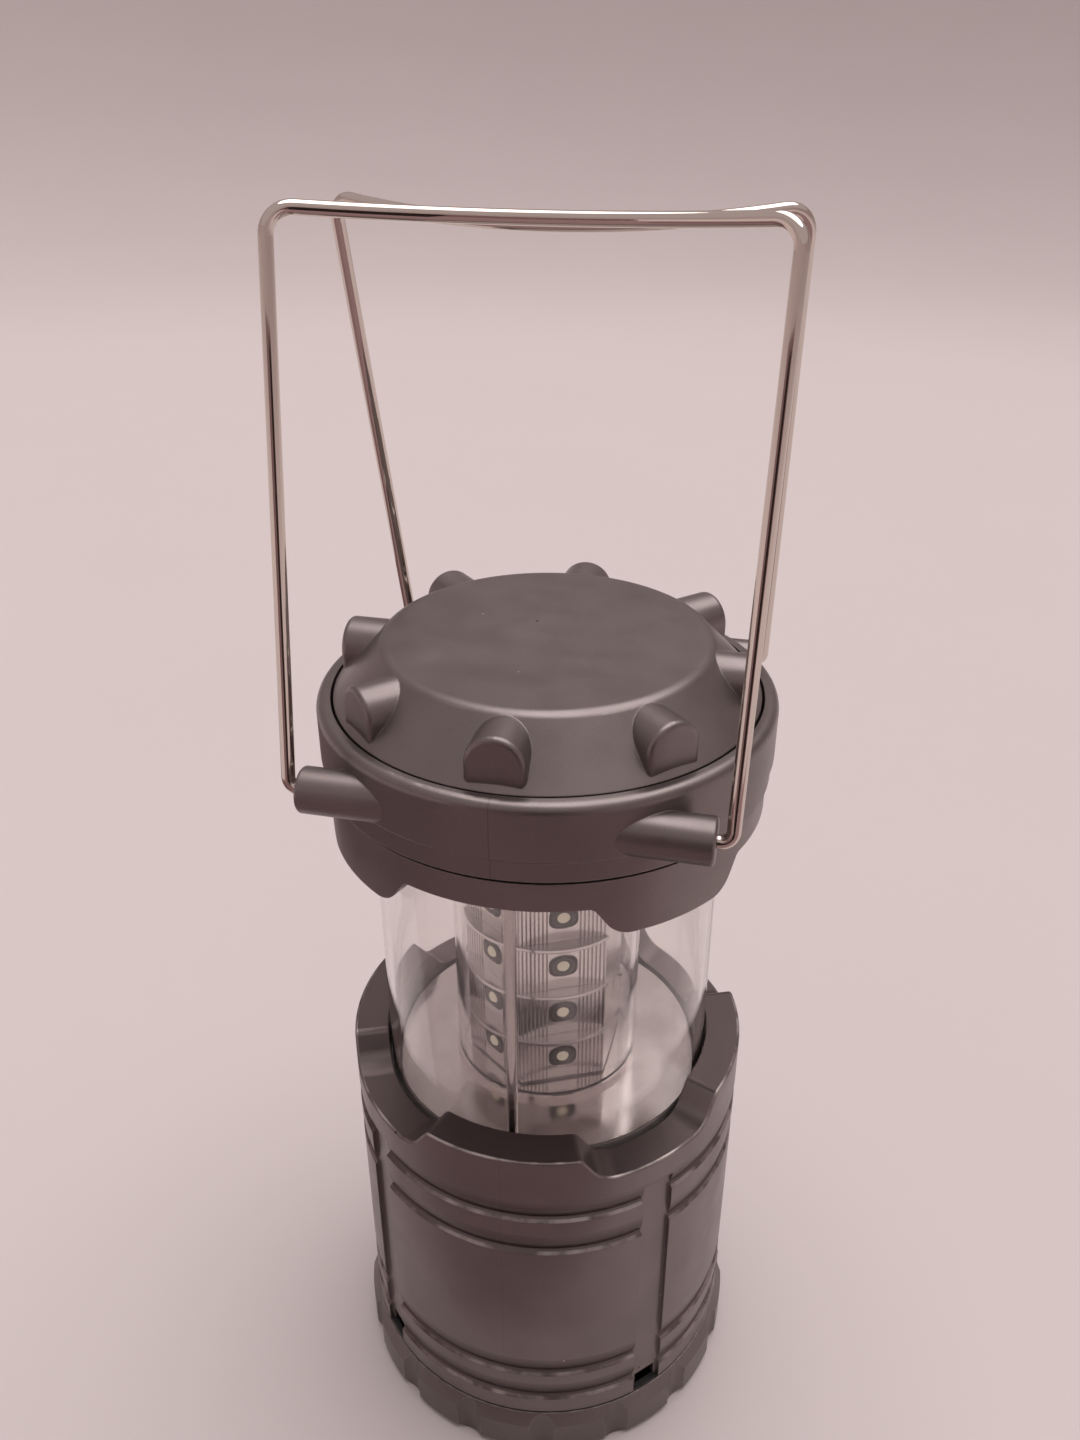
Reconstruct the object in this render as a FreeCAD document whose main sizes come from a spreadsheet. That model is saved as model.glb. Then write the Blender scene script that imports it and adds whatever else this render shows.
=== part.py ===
import FreeCAD, Part
import math
import os
from types import SimpleNamespace

import Sketcher

# Pop-up camping lantern. A lamp head slides up out of a drum body, two wire bails swing on the
# head, and a twist-off base closes the battery tray. Millimetres, +Z up, front towards -Y, and
# the origin in the middle of the underside.

# Driving dimensions

DRIVING = {
    # base cap
    "base_height": 12.0,
    "base_overhang": 1.6,
    "base_edge": 1.6,
    "base_flare": 3.2,
    "base_lip": 0.15,
    "base_wall": 1.8,
    "base_floor": 1.8,
    "flute_radius": 4.0,
    "flute_depth": 1.35,
    "seam_gap": 0.4,
    "seal_height": 0.3,
    "seal_inset": 0.5,
    # twist lock between the base cap and the body
    "spigot_wall": 1.2,
    "lug_height": 1.6,
    "lug_reach": 1.4,
    "lock_clearance": 0.3,
    # drum body
    "body_radius": 42.4,
    "body_wall": 2.2,
    "body_height": 73.2,
    "rim_width": 7.2,
    "rim_thickness": 3.6,
    "tab_height": 6.2,
    "tab_slope": 4.2,
    "tab_round": 1.8,
    "tooth_round": 6.0,
    "rim_round": 0.5,
    "band_height": 5.6,
    "band_return": 0.9,
    "band_depth": 1.0,
    "band_top_margin": 5.1,
    "band_pitch": 9.6,
    "band_low_margin": 4.3,
    "band_low_pitch": 8.5,
    "channel_width": 7.0,
    "channel_depth": 1.1,
    "channel_margin": 6.0,
    "catch_width": 5.2,
    "catch_height": 4.2,
    # battery tray
    "cell_radius": 7.1,
    "cell_length": 50.5,
    "cell_nub_radius": 2.7,
    "cell_nub_height": 1.2,
    "cell_pitch": 14.6,
    "cell_clearance": 0.7,
    "spring_length": 3.4,
    "spring_height": 8.0,
    "spring_bend": 2.6,
    "spring_width": 5.0,
    "spring_thickness": 0.35,
    "contact_thickness": 0.4,
    "contact_width": 10.0,
    "tray_wall": 1.8,
    "tray_wall_height": 12.0,
    "deck_thickness": 1.8,
    "deck_fit": 0.2,
    # guide sleeve and the contacts along it
    "sleeve_wall": 1.4,
    "sleeve_ring_height": 7.6,
    "strip_width": 5.0,
    "strip_thickness": 0.4,
    "strip_clearance": 0.1,
    "window_height": 7.0,
    "pad_recess": 0.1,
    # lamp head carrier
    "flange_thickness": 1.7,
    "flange_reach": 1.3,
    "stop_gap": 0.3,
    "landing_gap": 0.7,
    "carrier_height": 5.4,
    "globe_fit": 0.2,
    "mirror_thickness": 0.4,
    "mirror_inset": 0.2,
    "land_height": 1.4,
    "finger_length": 8.0,
    "finger_thickness": 0.5,
    # globe and lens tube
    "globe_wall": 1.5,
    "globe_clearance": 0.6,
    "globe_flange": 1.8,
    "globe_flange_thickness": 1.5,
    "lens_radius": 19.7,
    "lens_wall": 1.4,
    # light core
    "core_gap": 0.7,
    "core_wall": 1.0,
    "core_split": 0.2,
    "core_lift": 0.6,
    "shelf_reach": 0.6,
    "shelf_thickness": 0.8,
    "led_margin_low": 6.0,
    "led_margin_high": 9.8,
    "led_radius": 2.3,
    "led_length": 2.6,
    "led_opening": 2.7,
    "board_width": 11.0,
    "board_thickness": 1.0,
    "board_gap": 0.1,
    # tie rods
    "rod_radius": 1.1,
    "rod_inset": 4.0,
    "rod_clearance": 0.1,
    "nut_radius": 2.3,
    "nut_height": 1.6,
    # crown ring, head plate and collar
    "closing_gap": 0.5,
    "mesh_gap": 1.0,
    "crown_inset": 0.1,
    "crown_height": 11.8,
    "plate_thickness": 2.0,
    "ceiling_drop": 5.9,
    "driver_edge": 0.3,
    "driver_thickness": 1.2,
    "driver_clearance": 1.0,
    "component_height": 3.0,
    "component_radius": 1.6,
    "component_inset": 11.0,
    "collar_gap": 0.9,
    "collar_height": 15.1,
    "collar_overhang": 1.0,
    "collar_wall": 2.7,
    "collar_round": 1.8,
    "collar_step": 0.5,
    "collar_step_height": 4.3,
    "collar_ledge": 1.0,
    "collar_ledge_height": 1.6,
    # cap
    "cap_gap": 0.5,
    "cap_wall": 2.2,
    "cap_rise": 10.1,
    "cap_cone_width": 9.6,
    "cap_round": 2.6,
    "nub_width": 10.6,
    "nub_inset": 1.0,
    "nub_drop": 0.6,
    "nub_straight": 4.0,
    "nub_length": 9.5,
    "nub_round": 1.0,
    # bails and their lugs
    "ear_radius": 4.2,
    "ear_inset": 9.0,
    "ear_height": 7.3,
    "ear_end_inset": 7.4,
    "ear_bore_depth": 8.6,
    "ear_round": 0.6,
    "pin_clearance": 0.06,
    "pin_end_gap": 0.5,
    "wire_radius": 1.2,
    "bail_foot_gap": 2.5,
    "bail_spread": 1.5,
    "bail_height": 93.8,
    "bail_foot_bend": 2.1,
    "bail_corner": 4.2,
    # fasteners
    "screw_radius": 0.9,
    "screw_length": 7.0,
    "screw_head_radius": 1.6,
    "screw_head_height": 1.2,
    "screw_clearance": 0.08,
}

FLUTE_COUNT = 16
LOCK_COUNT = 3
LOCK_ANGLE = 20.0
LOCK_NOTCH_ANGLE = 27.0
TAB_COUNT = 4
TAB_HALF_ANGLE = 22.0
NUB_COUNT = 8
LED_ROWS = 5
CORE_TURN_ANGLE = -5.0
LED_FACE_ANGLE = 30.0
HEXAGON_ANGLE = 60.0
BOW_ANGLE = 26.0
FRONT_LEAN_ANGLE = 11.0
BACK_LEAN_ANGLE = 14.3
HEAD_SCREW_COUNT = 4
COMPONENT_COUNT = 6
FIRST_COMPONENT_ANGLE = 15.0
FIRST_SCREW_ANGLE = 45.0
FIRST_DECK_SCREW_ANGLE = -70.0
TOLERANCE = 1e-4
OVERLAP = 1.0

doc = FreeCAD.newDocument("camping_lantern")
sheet = doc.addObject("Spreadsheet::Sheet", "Sizes")
for row, (alias, length) in enumerate(DRIVING.items(), start=1):
    sheet.set(f"A{row}", str(length))
    sheet.setAlias(f"A{row}", alias)
doc.recompute()


def formula_of(item):
    return item.formula if isinstance(item, Size) else repr(float(item))


def value_of(item):
    return item.value if isinstance(item, Size) else float(item)


class Size:
    """A length from the sheet, or worked out from such lengths: its formula and present value."""

    def __init__(self, formula, value):
        self.formula = formula
        self.value = value

    def __add__(self, other):
        return Size(f"({self.formula} + {formula_of(other)})", self.value + value_of(other))

    def __sub__(self, other):
        return Size(f"({self.formula} - {formula_of(other)})", self.value - value_of(other))

    def __mul__(self, other):
        return Size(f"({self.formula} * {formula_of(other)})", self.value * value_of(other))

    def __truediv__(self, other):
        return Size(f"({self.formula} / {formula_of(other)})", self.value / value_of(other))

    def __neg__(self):
        return Size(f"(0 - {self.formula})", -self.value)


def larger(one, two):
    """The larger of two lengths."""
    return Size(f"max({one.formula}; {two.formula})", max(one.value, two.value))


size = SimpleNamespace(**{alias: Size(f"Sizes.{alias}", float(getattr(sheet, alias))) for alias in DRIVING})

# Levels and radii that follow from the driving dimensions

body_bottom = size.base_height + size.seam_gap
rim_level = body_bottom + size.body_height
tab_top = rim_level + size.tab_height
rim_underside = rim_level - size.rim_thickness
wall_bore = size.body_radius - size.body_wall
rim_bore = size.body_radius - size.rim_width
base_radius = size.body_radius + size.base_overhang
tab_reach = size.body_radius * 0.45

cell_axis = size.base_floor + size.cell_clearance + size.cell_radius
cells_top = cell_axis + size.cell_radius + size.cell_clearance
lug_bottom = body_bottom + size.lug_height + size.lock_clearance
lug_top = lug_bottom + size.lug_height
deck_bottom = larger(cells_top, lug_top + size.screw_head_height + size.lock_clearance)
deck_top = deck_bottom + size.deck_thickness
deck_radius = wall_bore - size.deck_fit

flange_top = rim_underside - size.stop_gap
carrier_bottom = flange_top - size.flange_thickness
flange_radius = rim_bore + size.flange_reach
sleeve_bore = flange_radius + size.stop_gap
sleeve_outer = sleeve_bore + size.sleeve_wall
ring_top = deck_top + size.sleeve_ring_height
carrier_top = carrier_bottom + size.carrier_height
mirror_top = carrier_top + size.mirror_thickness
land_top = mirror_top + size.land_height
travel = carrier_bottom - deck_top - size.landing_gap

crown_bottom = rim_level + size.closing_gap + travel
crown_recess = crown_bottom + size.tab_height
crown_top = crown_bottom + size.crown_height
ceiling_level = crown_top - size.ceiling_drop
plate_top = crown_top + size.plate_thickness
collar_bottom = crown_top + size.collar_gap
collar_top = collar_bottom + size.collar_height
crown_radius = size.body_radius - size.crown_inset
collar_radius = size.body_radius + size.collar_overhang
collar_bore = collar_radius - size.collar_wall
ledge_radius = collar_bore - size.collar_ledge
ledge_top = plate_top + size.collar_ledge_height
cap_edge = collar_top
cap_top = cap_edge + size.cap_rise
cap_radius = collar_bore - size.cap_gap
cap_disc_radius = cap_radius - size.cap_cone_width
nub_reach = cap_radius - size.nub_inset
ear_level = collar_bottom + size.ear_height
ear_offset = collar_radius - size.ear_inset
ear_end = collar_radius - size.ear_end_inset
bail_foot = ear_end + size.bail_foot_gap
bail_shoulder = bail_foot + size.bail_spread

globe_radius = rim_bore - size.globe_clearance
globe_bore = globe_radius - size.globe_wall
spigot_radius = globe_bore - size.globe_fit
rod_circle = globe_radius - size.rod_inset
lens_bore = size.lens_radius - size.lens_wall
core_radius = lens_bore - size.core_gap - size.shelf_reach
core_bottom = land_top + size.core_lift
core_height = ceiling_level - core_bottom
led_pitch = (core_height - size.led_margin_low - size.led_margin_high) / (LED_ROWS - 1)
core_flat = core_radius * math.cos(math.radians(LED_FACE_ANGLE))
board_face = core_flat - size.core_wall - size.board_gap
driver_radius = rod_circle - size.nut_radius - size.driver_edge - size.driver_clearance
component_circle = driver_radius - size.component_inset
head_screw_circle = globe_radius + size.globe_flange + size.screw_head_radius - size.screw_clearance
deck_screw_circle = (sleeve_bore + deck_radius) / 2
tray_wall_face = (size.cell_length + size.spring_length) / 2 + size.contact_thickness
screw_bore = size.screw_radius + size.screw_clearance


# Building blocks

def new_body(label):
    return doc.addObject("PartDesign::Body", label)


def origin_feature(body, role):
    return next(item for item in body.Origin.OriginFeatures if item.Role == role)


def new_sketch(body, plane, offset=None, turn=0.0):
    """A sketch on one of the body's own planes, moved along its normal or turned about the vertical."""
    sketch = body.newObject("Sketcher::SketchObject", f"{body.Name}_sketch")
    sketch.AttachmentSupport = (origin_feature(body, plane), [""])
    sketch.MapMode = "FlatFace"
    vertical = FreeCAD.Vector(0, 0, 1) if plane == "XY_Plane" else FreeCAD.Vector(0, 1, 0)
    sketch.AttachmentOffset = FreeCAD.Placement(FreeCAD.Vector(), FreeCAD.Rotation(vertical, turn))
    if offset is not None:
        sketch.setExpression("AttachmentOffset.Base.z", offset.formula)
    return sketch


def hold(sketch, kind, item, *where):
    """Adds one dimension to a sketch and ties it to the sheet."""
    index = sketch.addConstraint(Sketcher.Constraint(kind, *where, item.value))
    sketch.setExpression(f"Constraints[{index}]", item.formula)


def hold_point(sketch, geometry, end, x, y):
    for item, kind, axis in ((x, "DistanceX", -2), (y, "DistanceY", -1)):
        if abs(value_of(item)) < TOLERANCE:
            sketch.addConstraint(Sketcher.Constraint("PointOnObject", geometry, end, axis))
        else:
            hold(sketch, kind, item, -1, 1, geometry, end)


def arc_between(start, end, radius):
    """A clockwise arc from start to end, with its centre to the right of the way there."""
    chord = end - start
    right = FreeCAD.Vector(chord.y, -chord.x, 0).normalize()
    middle = (start + end) * 0.5
    centre = middle + right * math.sqrt(radius ** 2 - (chord.Length / 2) ** 2)
    circle = Part.Circle(centre, FreeCAD.Vector(0, 0, 1), radius)
    first = math.atan2(end.y - centre.y, end.x - centre.x)
    last = math.atan2(start.y - centre.y, start.x - centre.x)
    return Part.ArcOfCircle(circle, first, last)


def outline(sketch, corners):
    """A closed outline. A corner is (x, y), or (x, y, radius) where a clockwise arc leads on from it."""
    places = [FreeCAD.Vector(value_of(corner[0]), value_of(corner[1]), 0) for corner in corners]
    joints = []
    for index, corner in enumerate(corners):
        start = places[index]
        end = places[(index + 1) % len(places)]
        if len(corner) == 3:
            number = sketch.addGeometry(arc_between(start, end, corner[2].value))
            hold(sketch, "Radius", corner[2], number)
            joints.append((number, 2, 1))
        else:
            number = sketch.addGeometry(Part.LineSegment(start, end))
            joints.append((number, 1, 2))
    for index, corner in enumerate(corners):
        number, first, last = joints[index]
        follower, entry, _ = joints[(index + 1) % len(joints)]
        sketch.addConstraint(Sketcher.Constraint("Coincident", number, last, follower, entry))
        hold_point(sketch, number, first, corner[0], corner[1])


def box(sketch, left, bottom, right, top):
    outline(sketch, [(left, bottom), (right, bottom), (right, top), (left, top)])


def circle(sketch, x, y, radius):
    centre = FreeCAD.Vector(value_of(x), value_of(y), 0)
    number = sketch.addGeometry(Part.Circle(centre, FreeCAD.Vector(0, 0, 1), radius.value))
    hold_point(sketch, number, 3, x, y)
    hold(sketch, "Radius", radius, number)


def shaped(body, kind, sketch, set_up):
    """Adds a feature and, where it cuts, makes sure that it took something away."""
    doc.recompute()
    cuts = kind in ("Pocket", "Groove")
    before = body.Shape.Volume if cuts else 0.0
    item = body.newObject(f"PartDesign::{kind}", f"{body.Name}_{kind.lower()}")
    item.Profile = sketch
    set_up(item)
    doc.recompute()
    if cuts and not body.Shape.Volume < before - TOLERANCE:
        raise ValueError(f"{item.Name} cuts nothing")
    return item


def turned(body, sketch, kind="Revolution", angle=360.0):
    """Revolves a sketch about the vertical, or cuts so; part turns lie evenly on both sides of it."""
    def set_up(item):
        item.ReferenceAxis = (sketch, ["V_Axis"])
        item.Angle = angle
        item.Midplane = angle < 360.0
    return shaped(body, kind, sketch, set_up)


def pushed(body, sketch, length, kind="Pad", both=False, back=False):
    """Pads or pockets a sketch along its normal, against it, or half to each side."""
    def set_up(item):
        item.SideType = "Symmetric" if both else "One side"
        item.Reversed = back
        item.setExpression("Length", length.formula)
    return shaped(body, kind, sketch, set_up)


def around(body, feature, count, angle=360.0):
    """Repeats a feature about the vertical."""
    pattern = body.newObject("PartDesign::PolarPattern", f"{feature.Name}_around")
    pattern.Originals = [feature]
    pattern.Axis = (origin_feature(body, "Z_Axis"), [""])
    pattern.Angle = angle
    pattern.Occurrences = count
    body.Tip = pattern


def upward(body, feature, count, pitch):
    """Repeats a feature up the vertical."""
    pattern = body.newObject("PartDesign::LinearPattern", f"{feature.Name}_upward")
    pattern.Originals = [feature]
    pattern.Direction = (origin_feature(body, "Z_Axis"), [""])
    pattern.setExpression("Length", (pitch * (count - 1)).formula)
    pattern.Occurrences = count
    body.Tip = pattern


def rounded(body, radius, chosen):
    """Rounds the edges that the test picks out."""
    doc.recompute()
    tip = body.Tip
    names = [f"Edge{number}" for number, edge in enumerate(tip.Shape.Edges, 1) if chosen(edge)]
    if not names:
        raise ValueError(f"no edge to round on {body.Name}")
    item = body.newObject("PartDesign::Fillet", f"{body.Name}_fillet")
    item.Base = (tip, names)
    item.setExpression("Radius", radius.formula)
    doc.recompute()
    if item.Shape.isNull() or not item.Shape.isValid():
        raise ValueError(f"{item.Name} could not round its edges")


def ring_at(radius, level):
    """Picks the circular edges of one radius at one height."""
    def chosen(edge):
        curve = edge.Curve
        return (isinstance(curve, Part.Circle) and abs(curve.Radius - radius.value) < TOLERANCE
                and abs(curve.Center.z - level.value) < TOLERANCE)
    return chosen


def straight_at(*levels):
    """Picks the straight level edges at the given heights."""
    def chosen(edge):
        heights = [vertex.Z for vertex in edge.Vertexes]
        level = any(all(abs(height - item.value) < TOLERANCE for height in heights) for item in levels)
        return isinstance(edge.Curve, Part.Line) and level
    return chosen


def placed(item, x, y, z, turn=None):
    """Sets where a piece lies, tied to the sheet, and how it is turned."""
    item.Placement = FreeCAD.Placement(FreeCAD.Vector(), turn or FreeCAD.Rotation())
    for axis, place in (("x", x), ("y", y), ("z", z)):
        if isinstance(place, Size):
            item.setExpression(f"Placement.Base.{axis}", place.formula)
    return item


def about(axis, degrees):
    directions = {"x": (1, 0, 0), "y": (0, 1, 0), "z": (0, 0, 1)}
    return FreeCAD.Rotation(FreeCAD.Vector(*directions[axis]), degrees)


def polar(radius, degrees):
    """The x and y of a point at a bearing measured from +X towards +Y."""
    bearing = math.radians(degrees)
    return radius * math.cos(bearing), radius * math.sin(bearing)


def block(name, lengths, corner):
    """A plain box with its sizes and its low corner tied to the sheet."""
    item = doc.addObject("Part::Box", name)
    for side, length in zip(("Length", "Width", "Height"), lengths):
        item.setExpression(side, length.formula)
    return placed(item, *corner)


def group(label, members):
    """Several like pieces kept under one name."""
    item = doc.addObject("Part::Compound", label)
    item.Links = members
    return item


def turned_piece(label, corners):
    """A piece that is one profile turned about the vertical."""
    body = new_body(label)
    sketch = new_sketch(body, "XZ_Plane")
    outline(sketch, corners)
    turned(body, sketch)
    return body


def drilled(body, level, x, y, radius, depth, count=1, back=False):
    """A round hole down from a level face, or up from it, repeated about the vertical."""
    sketch = new_sketch(body, "XY_Plane", level)
    circle(sketch, x, y, radius)
    hole = pushed(body, sketch, depth, "Pocket", back=back)
    if count > 1:
        around(body, hole, count)


def screw(name):
    """A pan-head screw, point down, with the underside of its head at its own origin."""
    return turned_piece(name, [
        (0, -size.screw_length),
        (size.screw_radius, -size.screw_length),
        (size.screw_radius, 0),
        (size.screw_head_radius, 0),
        (size.screw_head_radius, size.screw_head_height),
        (0, size.screw_head_height),
    ])


# Base cap

base_rim = size.body_radius + size.base_lip
base_bore = base_rim - size.base_wall
lug_radius = wall_bore - size.lock_clearance
spigot_outer = wall_bore - size.lug_reach - size.lock_clearance
spigot_inner = spigot_outer - size.spigot_wall


def lock_lugs(body, inner, bottom, outer, top):
    """Three short ring sectors, one of them towards +Y."""
    sketch = new_sketch(body, "YZ_Plane")
    box(sketch, inner, bottom, outer, top)
    around(body, turned(body, sketch, angle=LOCK_ANGLE), LOCK_COUNT)


def make_base_cap():
    body = turned_piece("base_cap", [
        (0, 0),
        (base_radius - size.base_edge, 0),
        (base_radius, size.base_edge),
        (base_radius, size.base_height - size.base_flare),
        (base_rim, size.base_height),
        (base_bore, size.base_height),
        (base_bore, size.base_floor),
        (spigot_outer, size.base_floor),
        (spigot_outer, lug_top),
        (spigot_inner, lug_top),
        (spigot_inner, size.base_floor),
        (0, size.base_floor),
    ])
    sketch = new_sketch(body, "XY_Plane", turn=180.0 / FLUTE_COUNT)
    circle(sketch, base_radius + size.flute_radius - size.flute_depth, 0, size.flute_radius)
    flute = pushed(body, sketch, size.base_height, "Pocket", back=True)
    around(body, flute, FLUTE_COUNT)
    lock_lugs(body, spigot_inner + size.spigot_wall / 2, lug_bottom, lug_radius, lug_top)
    return body


def make_base_seal():
    outer = size.body_radius - size.seal_inset
    top = size.base_height + size.seal_height
    return turned_piece("base_seal", [
        (base_bore, size.base_height),
        (outer, size.base_height),
        (outer, top),
        (base_bore, top),
    ])


# Drum body

def make_body_shell():
    body = turned_piece("body_shell", [
        (wall_bore, body_bottom),
        (size.body_radius, body_bottom),
        (size.body_radius, tab_top),
        (rim_bore, tab_top),
        (rim_bore, rim_underside),
        (wall_bore, rim_underside),
    ])
    cut_bands(body)
    cut_notches(body)
    cut_channels(body)
    lock_lugs(body, wall_bore - size.lug_reach, body_bottom, wall_bore + size.body_wall / 2,
              body_bottom + size.lug_height)
    return body


def cut_bands(body):
    """Four shallow bands: the wall rolls inwards going down each one and steps back out below it."""
    fall = size.band_height - size.band_return
    radius = (fall * fall + size.band_depth * size.band_depth) / (size.band_depth * 2)
    highest = rim_level - size.band_top_margin
    lowest = body_bottom + size.band_low_margin + size.band_height
    outside = size.body_radius + OVERLAP
    sketch = new_sketch(body, "XZ_Plane")
    for top in (highest, highest - size.band_pitch, lowest + size.band_low_pitch, lowest):
        outline(sketch, [
            (size.body_radius, top, radius),
            (size.body_radius - size.band_depth, top - fall),
            (size.body_radius, top - size.band_height),
            (outside, top - size.band_height),
            (outside, top),
        ])
    turned(body, sketch, "Groove")


def cut_notches(body):
    """Cuts the rim down between four tabs, whose ends slope, follow the radius and are rounded."""
    above = tab_top + OVERLAP
    for side in (-1, 1):
        notch = new_sketch(body, "XZ_Plane", turn=side * TAB_HALF_ANGLE)
        outline(notch, [
            (0, tab_top),
            (size.tab_slope * side, rim_level),
            (tab_reach * side, rim_level),
            (tab_reach * side, above),
            (0, above),
        ])
        around(body, pushed(body, notch, size.body_radius + OVERLAP, "Pocket", back=True), TAB_COUNT)
    rounded(body, size.tab_round, straight_at(tab_top))
    rounded(body, size.tooth_round, straight_at(rim_level))

    def on_outer_rim(edge):
        middle = edge.valueAt((edge.FirstParameter + edge.LastParameter) / 2)
        ends = [vertex.Point for vertex in edge.Vertexes]
        outside = all(abs(math.hypot(point.x, point.y) - size.body_radius.value) < TOLERANCE
                      for point in ends + [middle])
        return outside and middle.z > rim_level.value - TOLERANCE
    rounded(body, size.rim_round, on_outer_rim)


def cut_channels(body):
    """Upright channels between the tabs, each with a catch opening through the wall at its foot."""
    floor = size.body_radius - size.channel_depth
    channel = new_sketch(body, "XY_Plane", body_bottom, turn=180.0 / TAB_COUNT)
    box(channel, floor, -size.channel_width / 2, size.body_radius + OVERLAP, size.channel_width / 2)
    height = size.body_height - size.channel_margin
    around(body, pushed(body, channel, height, "Pocket", back=True), TAB_COUNT)
    catch = new_sketch(body, "XY_Plane", body_bottom, turn=180.0 / TAB_COUNT)
    box(catch, wall_bore - OVERLAP, -size.catch_width / 2, size.body_radius, size.catch_width / 2)
    around(body, pushed(body, catch, size.catch_height, "Pocket", back=True), TAB_COUNT)


strip_inner = sleeve_outer + size.strip_clearance
strip_outer = strip_inner + size.strip_thickness
strip_slot = size.strip_width / 2 + size.strip_clearance
pad_bottom = rim_underside - size.window_height
foot_top = deck_bottom - size.strip_clearance


def make_guide_sleeve():
    body = turned_piece("guide_sleeve", [
        (sleeve_bore, deck_top),
        (deck_radius, deck_top),
        (deck_radius, ring_top),
        (sleeve_outer, ring_top),
        (sleeve_outer, rim_underside),
        (sleeve_bore, rim_underside),
    ])
    window = new_sketch(body, "YZ_Plane")
    box(window, -strip_slot, pad_bottom - size.strip_clearance, strip_slot, rim_underside)
    pushed(body, window, sleeve_outer * 2, "Pocket", both=True)
    cut_strip_slots(body, deck_top, size.sleeve_ring_height)
    x, y = polar(deck_screw_circle, FIRST_DECK_SCREW_ANGLE)
    drilled(body, deck_top, x, y, screw_bore, size.screw_length, LOCK_COUNT, back=True)
    return body


def cut_strip_slots(body, level, height):
    """Slots at both sides for the contact strips to pass through."""
    sketch = new_sketch(body, "XY_Plane", level)
    box(sketch, sleeve_outer, -strip_slot, deck_radius + OVERLAP, strip_slot)
    box(sketch, -deck_radius - OVERLAP, -strip_slot, -sleeve_outer, strip_slot)
    pushed(body, sketch, height, "Pocket", back=True)


# Battery tray

def make_battery_tray():
    body = new_body("battery_tray")
    deck = new_sketch(body, "XY_Plane", deck_bottom)
    circle(deck, 0, 0, deck_radius)
    pushed(body, deck, size.deck_thickness)
    walls = new_sketch(body, "XY_Plane", deck_top)
    side = size.cell_pitch + size.cell_radius
    outer_face = tray_wall_face + size.tray_wall
    box(walls, tray_wall_face, -side, outer_face, side)
    box(walls, -outer_face, -side, -tray_wall_face, side)
    pushed(body, walls, size.deck_thickness + size.tray_wall_height, back=True)
    notch = new_sketch(body, "YZ_Plane")
    box(notch, wall_bore - size.lug_reach - size.lock_clearance, deck_bottom, deck_radius + OVERLAP, deck_top)
    around(body, turned(body, notch, "Groove", LOCK_NOTCH_ANGLE), LOCK_COUNT)
    cut_strip_slots(body, deck_bottom, size.deck_thickness)
    x, y = polar(deck_screw_circle, FIRST_DECK_SCREW_ANGLE)
    drilled(body, deck_bottom, x, y, screw_bore, size.deck_thickness, LOCK_COUNT, back=True)
    return body


def make_batteries():
    """Three cells side by side, head to tail, each with its nub on a contact plate."""
    can = size.cell_length - size.cell_nub_height
    start = tray_wall_face - size.contact_thickness - size.cell_length
    for index in range(3):
        body = turned_piece(f"battery_{index + 1}", [
            (0, 0),
            (size.cell_radius, 0),
            (size.cell_radius, can),
            (size.cell_nub_radius, can),
            (size.cell_nub_radius, size.cell_length),
            (0, size.cell_length),
        ])
        way = 1 if index % 2 == 0 else -1
        placed(body, start * way, size.cell_pitch * (index - 1), cell_axis, about("y", 90.0 * way))
        yield body


def make_contact_plates():
    """Each end wall has one plate that joins two cells and one that ends the row."""
    plates = []
    half = size.contact_width / 2
    low = cell_axis - half
    for way in (-1, 1):
        face = -tray_wall_face if way < 0 else tray_wall_face - size.contact_thickness
        single = block("single_plate", (size.contact_thickness, size.contact_width, size.contact_width),
                       (face, size.cell_pitch * way - half, low))
        joining_width = size.cell_pitch + size.contact_width
        joining_start = -half if way < 0 else -size.cell_pitch - half
        joining = block("joining_plate", (size.contact_thickness, joining_width, size.contact_width),
                        (face, joining_start, low))
        plates += [single, joining]
    return group("contact_plates", plates)


def make_contact_springs():
    """A bent leaf between the plate and the flat end of each cell."""
    springs = []
    half = size.spring_height / 2
    tip = half - size.spring_bend
    leaf = size.spring_thickness
    for index in range(3):
        body = new_body(f"contact_spring_{index + 1}")
        sketch = new_sketch(body, "XZ_Plane")
        outline(sketch, [
            (0, -half),
            (size.spring_length, -tip),
            (size.spring_length, tip),
            (0, half),
            (0, half - leaf * 2),
            (size.spring_length - leaf, tip - leaf / 2),
            (size.spring_length - leaf, leaf / 2 - tip),
            (0, leaf * 2 - half),
        ])
        pushed(body, sketch, size.spring_width, both=True)
        way = 1 if index % 2 == 0 else -1
        start = (tray_wall_face - size.contact_thickness) * -way
        turn = about("z", 90.0 - 90.0 * way)
        springs.append(placed(body, start, size.cell_pitch * (index - 1), cell_axis, turn))
    return group("contact_springs", springs)


def make_contact_strips():
    """Strips from under the deck up the outside of the sleeve, with a pad through each window."""
    strips = []
    pad_top = rim_underside - size.strip_clearance
    pad_face = sleeve_bore + size.pad_recess
    for turn in (0.0, 180.0):
        body = new_body("contact_strip")
        sketch = new_sketch(body, "XZ_Plane")
        outline(sketch, [
            (tray_wall_face + size.tray_wall, foot_top - size.strip_thickness),
            (strip_outer, foot_top - size.strip_thickness),
            (strip_outer, pad_top),
            (pad_face, pad_top),
            (pad_face, pad_bottom),
            (strip_inner, pad_bottom),
            (strip_inner, foot_top),
            (tray_wall_face + size.tray_wall, foot_top),
        ])
        pushed(body, sketch, size.strip_width, both=True)
        body.Placement = FreeCAD.Placement(FreeCAD.Vector(), about("z", turn))
        strips.append(body)
    return group("contact_strips", strips)


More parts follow.
